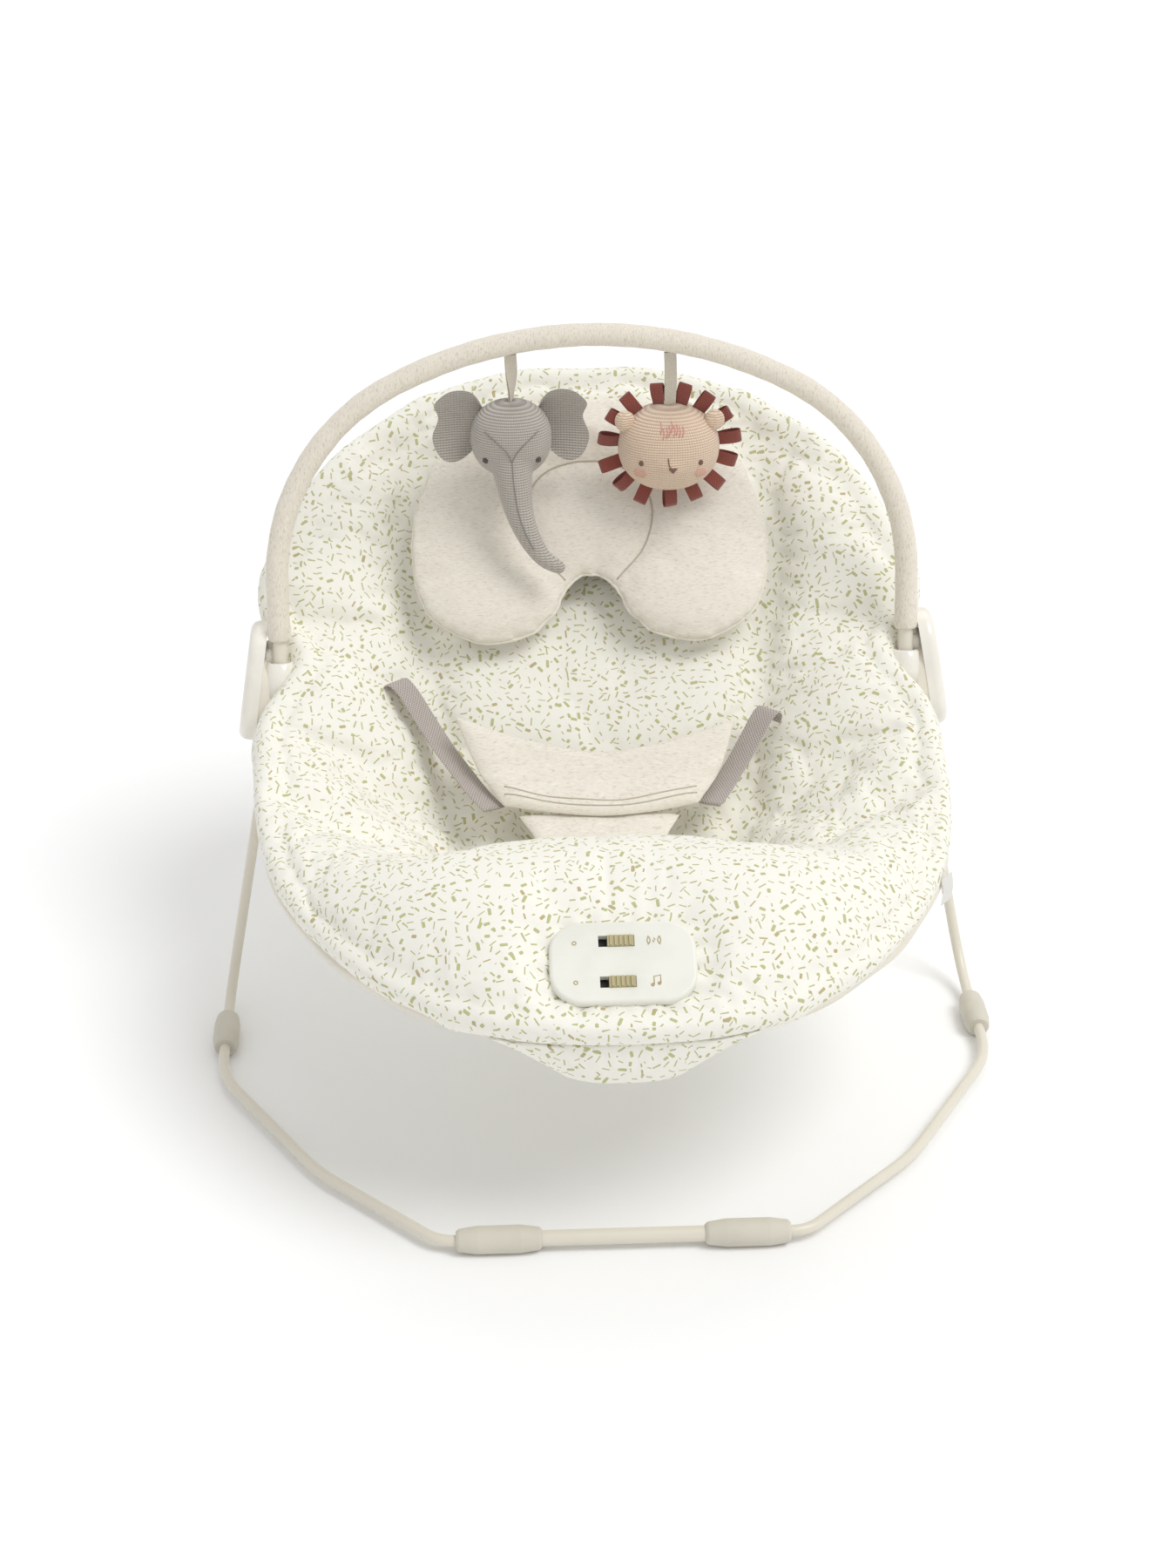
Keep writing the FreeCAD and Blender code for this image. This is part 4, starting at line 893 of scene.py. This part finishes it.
def pillow_outline():
    half = [(0, 60), (16, 55), (34, 24), (58, 9), (92, 7), (128, 32), (141, 88), (121, 158), (68, 201),
            (0, 210)]
    return through(half + [(-x, rise) for x, rise in reversed(half[1:-1])], 150, closed=True)


def inner_arch(count):
    """The seam of the pillow's inner pad: up from the notch, over and down."""
    half = [(0, 154), (34, 144), (49, 116), (42, 82), (20, 56)]
    return through([(-x, y) for x, y in reversed(half[1:])] + half, count)


def make_pillow():
    outline = pillow_outline()
    middle = np.array((0, 112))
    small = outline + (middle - outline) * 0.02
    flat = bmesh.new()
    corners = [flat.verts.new(on_back(x, y, 31)) for x, y in small]
    flat.faces.new(corners)
    grown = bmesh.ops.extrude_face_region(flat, geom=flat.faces[:])
    up = (on_back(0, 0, 1) - on_back(0, 0, 0)) * 9
    bmesh.ops.translate(flat, vec=up, verts=[v for v in grown["geom"] if isinstance(v, bmesh.types.BMVert)])
    bmesh.ops.recalc_face_normals(flat, faces=flat.faces)
    mesh = bpy.data.meshes.new("head_pillow_pad")
    flat.to_mesh(mesh)
    flat.free()
    pillow = remeshed(shown("head_pillow_pad", mesh), 0.0045, 2)
    origin = np.array(on_back(0, 0, 0))
    up = np.array(on_back(0, 0, 1)) - origin
    up /= np.linalg.norm(up)
    rise = np.array(on_back(0, 1, 0)) - origin
    rise /= np.linalg.norm(rise)
    points = points_of(pillow)
    flat_places = np.stack([points[:, 0] / MM, (points - origin) @ rise / MM], axis=1)
    h = (points - origin) @ up / MM
    edge = gap_to(flat_places, outline)
    seam = gap_to(flat_places, inner_arch(80))
    top = h > 35.5
    crown = 8 * np.sqrt(eased(edge / 40)) * (0.25 + 0.75 * np.sqrt(eased(seam / 22)))
    points = points + np.outer(np.where(top, crown, -2.5 * eased(edge / 30)) * MM, up)
    move_points(pillow, points)
    pins = np.where(top, 1 - eased((seam - 1.5) / 4), np.where(h < 33, 0.6, 0.0))
    pins = np.maximum(pins, 0.35 * (1 - eased(edge / 6)))
    stuff(pillow, pins, pressure=5.0, most=0.006, slack=0.04)
    settle(pillow, "SUBSURF", levels=1, render_levels=1)
    dress(pillow, "seat", oatmeal, ("head_pillow", "pillow_inner_pad"))
    tree = surface_of(pillow)
    rim = [on_back(a, b, 35.5) for a, b in outline]
    piping = laid(tree, rim + rim[:2], 0.0004)
    sewn("pillow_piping", piping, 0.0013, "seat", oatmeal)
    lines = [on_back(a, b, 60) for a, b in inner_arch(70)]
    seam_line = dropped(tree, lines, (on_back(0, 0, 0) - on_back(0, 0, 1)).normalized())
    sewn("pillow_inner_seam", seam_line, 0.0007, "seat", hem_thread)


# ---------------------------------------------------------------- the harness


def flap(name, rows, thick, finish, replaces=(), wide=33, tall=25, wrinkle=0.0):
    """A soft flap of cloth through rows of points, left to right, with a crowned face and a closed edge."""
    fine = np.array([through(row, wide) for row in rows])
    fine = np.array([through(fine[:, j], tall) for j in range(wide)]).transpose(1, 0, 2)
    normal = np.cross(np.gradient(fine, axis=1), np.gradient(fine, axis=0))
    normal /= np.linalg.norm(normal, axis=2, keepdims=True)
    normal *= np.sign(normal[..., 2:3] + 1e-9)
    i, j = np.meshgrid(np.arange(tall), np.arange(wide), indexing="ij")
    s, t = 2 * j / (wide - 1) - 1, 2 * i / (tall - 1) - 1
    crown = np.clip((1 - s ** 8) * (1 - t ** 8), 0, 1) ** 0.5
    folds = wrinkle * np.sin(9 * s + 3 * t + 2 * np.sin(4 * t)) * (1 - t ** 2)
    upper = fine + normal * (thick * (0.25 + 0.75 * crown) + folds)[..., None]
    vertices = [tuple(p) for p in upper.reshape(-1, 3)] + [tuple(p) for p in fine.reshape(-1, 3)]
    made = joined(name, (vertices, closed_sheet(tall, wide)))
    settle(made, "SUBSURF", levels=1, render_levels=1)
    return dress(made, "seat", finish, replaces)


def make_harness():
    """The padded waist panel with its crotch piece below, the webbing and the stitching."""
    def slope(x, y, lift=0.0):
        return at(x, y, 177.2 + 0.4 * (y - 262) + lift)

    panel = flap("waist_panel", [
        [slope(-108, 346, 26), slope(-62, 337, 15), slope(0, 329, 8), slope(56, 335, 12),
         slope(104, 343, 21)],
        [slope(-92, 314, 10), slope(-46, 308, 5), slope(0, 305, 3), slope(46, 308, 5), slope(91, 312, 8)],
        [slope(-73, 286, 4), slope(-37, 277, 6), slope(0, 272, 7), slope(38, 276, 6), slope(72, 285, 4)],
    ], 6.5 * MM, oatmeal, ("harness_pad",), wrinkle=0.0012)
    lower = flap("crotch_panel", [
        [slope(-62, 284, -3), slope(-30, 284, -2), slope(0, 284, -2), slope(30, 284, -2), slope(58, 282, -3)],
        [slope(-50, 256, 2), slope(-25, 257, 2), slope(0, 257, 3), slope(25, 257, 2), slope(46, 256, 2)],
        [slope(-48, 232, -1), slope(-23, 230, 0), slope(0, 230, 0), slope(22, 230, 0), slope(41, 232, -1)],
    ], 5 * MM, oatmeal, wrinkle=0.0008)
    tree = surface_of(panel)
    for name, back in (("waist_hem_outer", 0.0), ("waist_hem_inner", 5.0)):
        line = through([slope(x, y + back, 30) for x, y in (
            (-72, 290), (-37, 281), (0, 276), (38, 280), (71, 289))], 60)
        sewn(name, dropped(tree, line, Vector((0, 0, -1))), 0.00055, "seat", hem_thread)
    for word, side in SIDES.items():
        reach = 1.0 if side < 0 else 0.72
        path = through([at(side * (80 + x * reach), 286 + y * reach, 189 + z * reach) for x, y, z in (
            (0, 0, 0), (12, 18, 5), (23, 38, 11), (36, 58, 21), (50, 78, 36), (62, 93, 51), (70, 101, 57),
            (74, 107, 52), (73, 109, 43))], 44)
        strap(f"waist_webbing_{word}", path, 0.019, (f"waist_strap_{word}",), (side * 0.8, -0.54, 0.13))
    path = through([at(0, 252, 148.5), at(0, 236, 158), at(0, 222, 168), at(0, 212, 175.5)], 16)
    strap("crotch_webbing", path, 0.036, ("crotch_strap",), (1, 0, 0))
    corner = [at(231.5, 148, 199), at(240.5, 158, 200), at(241.5, 158, 178), at(232.5, 148, 177)]
    rows = [[corner[0] + (corner[1] - corner[0]) * k / 4 for k in range(5)],
            [corner[3] + (corner[2] - corner[3]) * k / 4 for k in range(5)]]
    middle = [(a + b) / 2 + Vector((0.0012, 0, 0)) for a, b in zip(*rows)]
    flap("bare_side_label", [rows[0], middle, rows[1]], 0.8 * MM, label_cloth,
         ("cloth_tag",), 9, 9)


# ---------------------------------------------------------------- the toy bar and the toys


def bar_line(low):
    """The toy bar's centre line over the top, from low on the right to low on the left."""
    turn = math.radians(27)
    shoulder = 164.0
    centre = 75.5
    straight = 70.0
    top = shoulder + centre / math.sin(turn)
    drop = straight - centre / math.tan(turn)
    half = [(BAR_HALF, low + (straight - low) * k / 6) for k in range(6)]
    bend = math.pi / 2 - turn
    for x, rise, radius, turns in (
        (centre, straight, shoulder, np.linspace(0, bend, 22)),
        (0, drop, top, np.linspace(bend, math.pi / 2, 20)[1:]),
    ):
        half += [(x + radius * math.cos(a), rise + radius * math.sin(a)) for a in turns]
    whole = half + [(-x, rise) for x, rise in reversed(half[:-1])]
    return [on_bar(x, rise) for x, rise in whole]


def make_hub_bosses():
    """The moulded ring that each stub of the toy bar comes out of, and the shell behind it."""
    profile = [(6.3, -16), (6.3, 8), (7.5, 9.2), (9.5, 9.2), (11, 8), (12.5, -4), (13, -16)]
    around = 48
    rings = len(profile)
    for word, side in SIDES.items():
        centre = on_bar(BAR_HALF * side, 0)
        up = (on_bar(BAR_HALF * side, 100) - centre).normalized()
        out = Vector((side, 0, 0))
        ahead = up.cross(out)
        vertices, faces = [], []
        for i, (radius, rise) in enumerate(profile):
            m = (i + 1) % rings
            for k in range(around):
                turn = 2 * math.pi * k / around
                way = out * math.cos(turn) + ahead * math.sin(turn)
                vertices.append(centre + (way * radius + up * rise) * MM)
                n = (k + 1) % around
                faces.append((i * around + k, i * around + n, m * around + n, m * around + k))
        shell = globe(at(244 * side, 409, 252), Vector((11, 12, 19)) * MM, 12, 24, 4.0)
        dress(joined(f"hub_boss_{word}", (vertices, faces), shell), "seat", hub_gloss)


def make_toy_bar():
    """The jersey sleeve on the toy bar: slightly uneven, gathered and hemmed at its ends."""
    line = through(bar_line(25.5), 420)
    radii = []
    for k in range(len(line)):
        near = min(k, len(line) - 1 - k)
        hem = 0.35 * math.exp(-((near - 5) / 2.5) ** 2)
        end = 0.8 * math.exp(-near / 1.2)
        radii.append((8.6 + 0.12 * math.sin(k * 0.23) + 0.1 * math.sin(k * 0.61 + 1) + hem - end) * MM)
    sleeve = tube("toy_bar_sleeve", line, radii, "toy_bar", sleeve_marl,
                  ("toy_bar_padding",), sides=28)


ELEPHANT = Vector((-60, HANG_Y, 414.3)) * MM
LION = Vector((60, HANG_Y, 405.3)) * MM


def hang_loop(name, x, bottom, twist):
    """A doubled ribbon from the sleeve's underside, twisted on its way into the toy's crown."""
    up = Vector((0, math.sin(BAR_LEAN), math.cos(BAR_LEAN)))
    top = Vector((x, HANG_Y, 489.08)) - up * 8.4
    path = [top]
    for k in range(1, 8):
        t = k / 7
        end = top.lerp(Vector((x, HANG_Y, bottom)), t)
        path.append(end + Vector((0.8 * math.sin(3 * t), 0, 0)))
    count, sides = 50, 20
    path = through([p * MM for p in path], count)
    vertices, faces, uvs = sweep(path, None, sides, flat=(0.0092, 0.0009), first=(1, 0, 0))
    layers = []
    for layer in (-1, 1):
        turned = []
        for i in range(count):
            middle = Vector(path[i])
            turn = Matrix.Rotation(math.radians(twist) * eased(i / (count - 1)), 3, "Z")
            for v in vertices[i * sides:(i + 1) * sides]:
                turned.append(middle + turn @ (Vector(v) - middle + Vector((0, layer * 0.0006, 0))))
        layers.append((turned, faces, uvs))
    dress(joined(f"{name}_ribbon", *layers), name, ribbon_tape, (f"{name}_strap",))


def make_elephant():
    head = ELEPHANT
    trunk_line = through([
        (0, 2, 0, 19), (0, -8, -8, 17), (1, -18, -26, 14.5), (4, -26, -46, 11.5), (9, -33, -61, 9.5),
        (16, -38, -74, 8), (24, -43, -83, 6.6), (34, -46, -88, 5.5)], 40)
    line = [head + Vector(p) * MM for p in trunk_line[:, :3]]
    trunk = sweep(line, trunk_line[:, 3] * MM, 24)[:2]
    tip = globe(line[-1], (5.4 * MM,) * 3, 12, 16)
    skull = globe(head, (31 * MM, 27 * MM, 30 * MM), 28, 40, 2.15)
    body = joined("elephant_head_knit", trunk, skull, tip)
    remeshed(body, 0.0015, 12)
    # the second colour of each yarn here, and of the ears' yarn below, is painted shade between the stitches
    yarn = knitted("elephant_yarn_grey", (194, 187, 178), (142, 134, 126), tuple(head))
    dress(body, "elephant", yarn, ("elephant_head",))
    flat_yarn = knitted("elephant_ear_yarn", (192, 185, 176), (140, 132, 124))
    sets = []
    for side in (-1, 1):
        outline = through([
            (21, 12), (30, 27), (46, 29), (58, 17), (55, 4), (60, -12), (52, -27), (38, -28), (22, -15)], 44)
        vertices = []
        rings = 9
        for layer in (0, 1):
            for i in range(rings + 1):
                t = i / rings
                for k, (x, z) in enumerate(outline):
                    f = k / (len(outline) - 1)
                    px, pz = 18 + (x - 18) * t, z * (0.25 + 0.75 * t)
                    fold = 9 * math.exp(-((f - 0.22) / 0.17) ** 2) + 5 * math.exp(-((f - 0.8) / 0.15) ** 2)
                    cup = 4 * math.sin(math.pi * t) - 3 * t
                    puff = 2.4 * (1 - t ** 4) ** 0.5 * (1 if layer else -1)
                    wave = 1.3 * math.sin(f * 15) * t ** 2
                    ahead = 10 + cup + wave - fold * t ** 2 + puff
                    vertices.append(head + Vector((side * px, ahead, pz + 6 + 3 * t)) * MM)
        sets.append((vertices, closed_sheet(rings + 1, len(outline))))
    ears = joined("elephant_ears_knit", *sets)
    settle(ears, "SUBSURF", levels=1, render_levels=1)
    dress(ears, "elephant", flat_yarn, ("elephant_ears",))
    dark = thread("elephant_eye_thread", (84, 76, 74))
    grey = thread("elephant_seam_thread", (146, 140, 134))
    stitch = stitcher(head, body, "elephant")
    for word, side in SIDES.items():
        eye = [(side * 20 + dx * 1.6, -11 + dz * 2.0) for dx, dz in arc(0, 0, 1, 0, 340, 14)]
        stitch(f"elephant_eye_{word}", eye, 0.0007, dark)
        stitch(f"elephant_pupil_{word}", [(side * 20, z) for z in (-12.8, -12, -11, -10, -9.2)],
               [0.0004, 0.0012, 0.0014, 0.0012, 0.0004], dark, -0.0002, 10)
        brow = through([(side * 20, 12), (side * 12, 6), (side * 4, -2), (0, -10)], 20)
        stitch(f"elephant_brow_seam_{word}", brow, 0.0006, grey)
    seam = through([(0, -10), (1, -26), (4, -46), (9, -61), (15, -73)], 26)
    stitch("elephant_trunk_seam", seam, 0.0006, grey)
    hang_loop("elephant", -60, 414.3 + 28, 75)


def make_lion():
    head = LION
    skull = globe(head, (39 * MM, 31 * MM, 34 * MM), 28, 44, 2.1)
    snout = globe(head + Vector((0, -20, -6)) * MM, (15 * MM, 13 * MM, 12 * MM), 16, 24)
    body = joined("lion_head_knit", skull, snout)
    remeshed(body, 0.0016, 14)
    # the second colour is painted shade between the stitches
    yarn = knitted("lion_yarn_peach", (234, 211, 188), (202, 168, 140), tuple(head))
    dress(body, "lion", yarn, ("lion_head",))
    ears = []
    for side in (-1, 1):
        ears.append(globe(head + Vector((side * 34, -7, 23)) * MM, (8 * MM, 5.5 * MM, 8.5 * MM), 14, 20))
        ears.append(globe(head + Vector((side * 31, -4, 19)) * MM, (7 * MM, 5 * MM, 7 * MM), 14, 20))
    ears = joined("lion_ears_knit", *ears)
    remeshed(ears, 0.0012, 4)
    dress(ears, "lion", yarn, ("lion_ears",))
    loops = []
    for k in range(15):
        angle = math.radians(90 - 12 + 24 * k + chance.uniform(-2.5, 2.5))
        way = Vector((math.cos(angle), 0, math.sin(angle)))
        start = head + Vector((way.x * 37.5, 2, way.z * 33)) * MM
        side = Vector((-way.z, 0, way.x))
        twist = Matrix.Rotation(math.radians(chance.uniform(-24, 24)), 3, way)
        out = chance.uniform(16.0, 18.5)
        shape = [(0, -0.9), (out * 0.45, -2.6), (out * 0.85, -2.4), (out, 0)]
        shape += [(a, -b) for a, b in reversed(shape[:3])]
        path = through([start + twist @ (way * a + Vector((0, 1, 0)) * b) * MM for a, b in shape], 26)
        loops.append(sweep(path, None, 16, flat=(0.0102, 0.0009), first=tuple(twist @ side)))
    dress(joined("lion_mane_ribbons", *loops), "lion", mane_tape, ("lion_mane",))
    brown = thread("lion_nose_thread", (132, 96, 78))
    eye_thread = thread("lion_eye_thread", (116, 88, 70))
    pink = thread("lion_cheek_thread", (232, 178, 162))
    rose = thread("lion_forehead_thread", (226, 160, 150))
    stitch = stitcher(head, body, "lion")
    for word, side in SIDES.items():
        stitch(f"lion_eye_{word}", [(side * 22.5, z) for z in (-6.6, -5.4, -4.2, -3.0, -1.8)],
               [0.0006, 0.0018, 0.0022, 0.0018, 0.0006], eye_thread, -0.0002)
        for row in range(5):
            z = -16.5 + 1.7 * row
            reach = 5.2 - 0.9 * abs(row - 2)
            line = [(side * 23 + reach * t, z) for t in np.linspace(-1, 1, 8)]
            stitch(f"lion_cheek_{word}_{row + 1}", line, 0.0006, pink, -0.0001)
    for row in range(4):
        reach = 3.1 - 0.85 * row
        line = [(1 + reach * t, -6.5 - row) for t in np.linspace(-1, 1, 7)]
        stitch(f"lion_nose_{row + 1}", line, 0.0007, brown)
    stitch("lion_nose_bridge", [(-2.6, 1.5), (-2.2, -1.5), (-1.8, -4.2), (0.2, -6.4)], 0.0005, brown)
    for k in range(9):
        x = -8 + 2.0 * k + chance.uniform(-0.5, 0.5)
        z = 17 + chance.uniform(-2, 3)
        stitch(f"lion_forehead_{k + 1}", [(x, z), (x + 1.1, z + 3.5), (x + 0.4, z + 7)], 0.0005, rose)
    hang_loop("lion", 60, 405.3 + 32, 8)


# ---------------------------------------------------------------- the frame


def make_legs():
    """The painted wire legs between the floor frame and the hubs; the real legs flex, these copies are fixed
    meshes.
    """
    for end in ("front", "rear"):
        for word in SIDES:
            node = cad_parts[f"{end}_leg_{word}"]
            leg = dress(shown(f"{end}_leg_{word}_wire", node.data.copy()), None, paint_coat)
            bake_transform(leg)
            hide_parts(f"{end}_leg_{word}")


def finish_nodes():
    """A material for every carried-over node, by its slot."""
    by_slot = {
        "frame_paint": paint_coat, "foot_rubber": foot_grip, "hub_shell": hub_gloss, "hub_inner": hub_satin,
        "screw_steel": screw_metal, "buckle_plastic": clip_plastic, "panel_plastic": panel_white,
        "slider_plastic": slide_khaki, "housing_plastic": tray_plastic, "cell_case": cell_case,
        "contact_metal": contact_metal, "board_green": board_green, "motor_steel": motor_steel,
        "speaker_black": speaker_black, "seat_fabric": cotton, "marl_fabric": oatmeal, "webbing": strap_web,
        "tag_cloth": label_cloth, "elephant_knit": oatmeal, "lion_knit": oatmeal, "mane_ribbon": mane_tape,
        "toy_ribbon": ribbon_tape,
    }
    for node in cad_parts.values():
        for slot in node.material_slots:
            slot.material = by_slot[slot.material.name.split(".")[0]].material


# ---------------------------------------------------------------- floor, light and camera


def make_stage():
    mesh = bpy.data.meshes.new("floor")
    half = 60
    mesh.from_pydata([(-half, -half, 0), (half, -half, 0), (half, half, 0), (-half, half, 0)], [], [range(4)])
    floor = shown("floor", mesh)
    white = Finish("studio_floor", srgb(250, 250, 250), 0.9)
    mesh.materials.append(white.material)
    world = bpy.data.worlds.new("studio")
    bpy.context.scene.world = world
    world.use_nodes = True
    sky = world.node_tree.nodes["Background"]
    sky.inputs[0].default_value = (1, 1, 1, 1)
    sky.inputs[1].default_value = 0.68
    for name, place, spread, power in (
        ("key", (1.3, -0.7, 2.4), 30, 1.3),
        ("back_light", (0.2, 1.6, 2.2), 40, 0.35),
    ):
        lamp = bpy.data.lights.new(name, "SUN")
        lamp.energy = power
        lamp.angle = math.radians(spread)
        made = shown(name, lamp)
        made.location = place
        made.rotation_euler = (-Vector(place)).to_track_quat("-Z", "Y").to_euler()
    bpy.context.scene.view_settings.view_transform = "Standard"


def make_camera():
    lens = bpy.data.cameras.new("camera")
    lens.lens = 67.0
    lens.sensor_width = 36.0
    lens.clip_start = 0.05
    lens.clip_end = 200
    made = shown("camera", lens)
    made.location = (-0.10506, -1.9156, 1.22177)
    made.rotation_euler = (math.radians(90 - 28), 0, math.radians(-2.85))
    bpy.context.scene.camera = made


make_camera()
make_stage()
finish_nodes()
make_legs()
make_cover()
make_panel_marks()
make_apron()
make_pillow()
make_harness()
make_hub_bosses()
make_toy_bar()
make_elephant()
make_lion()
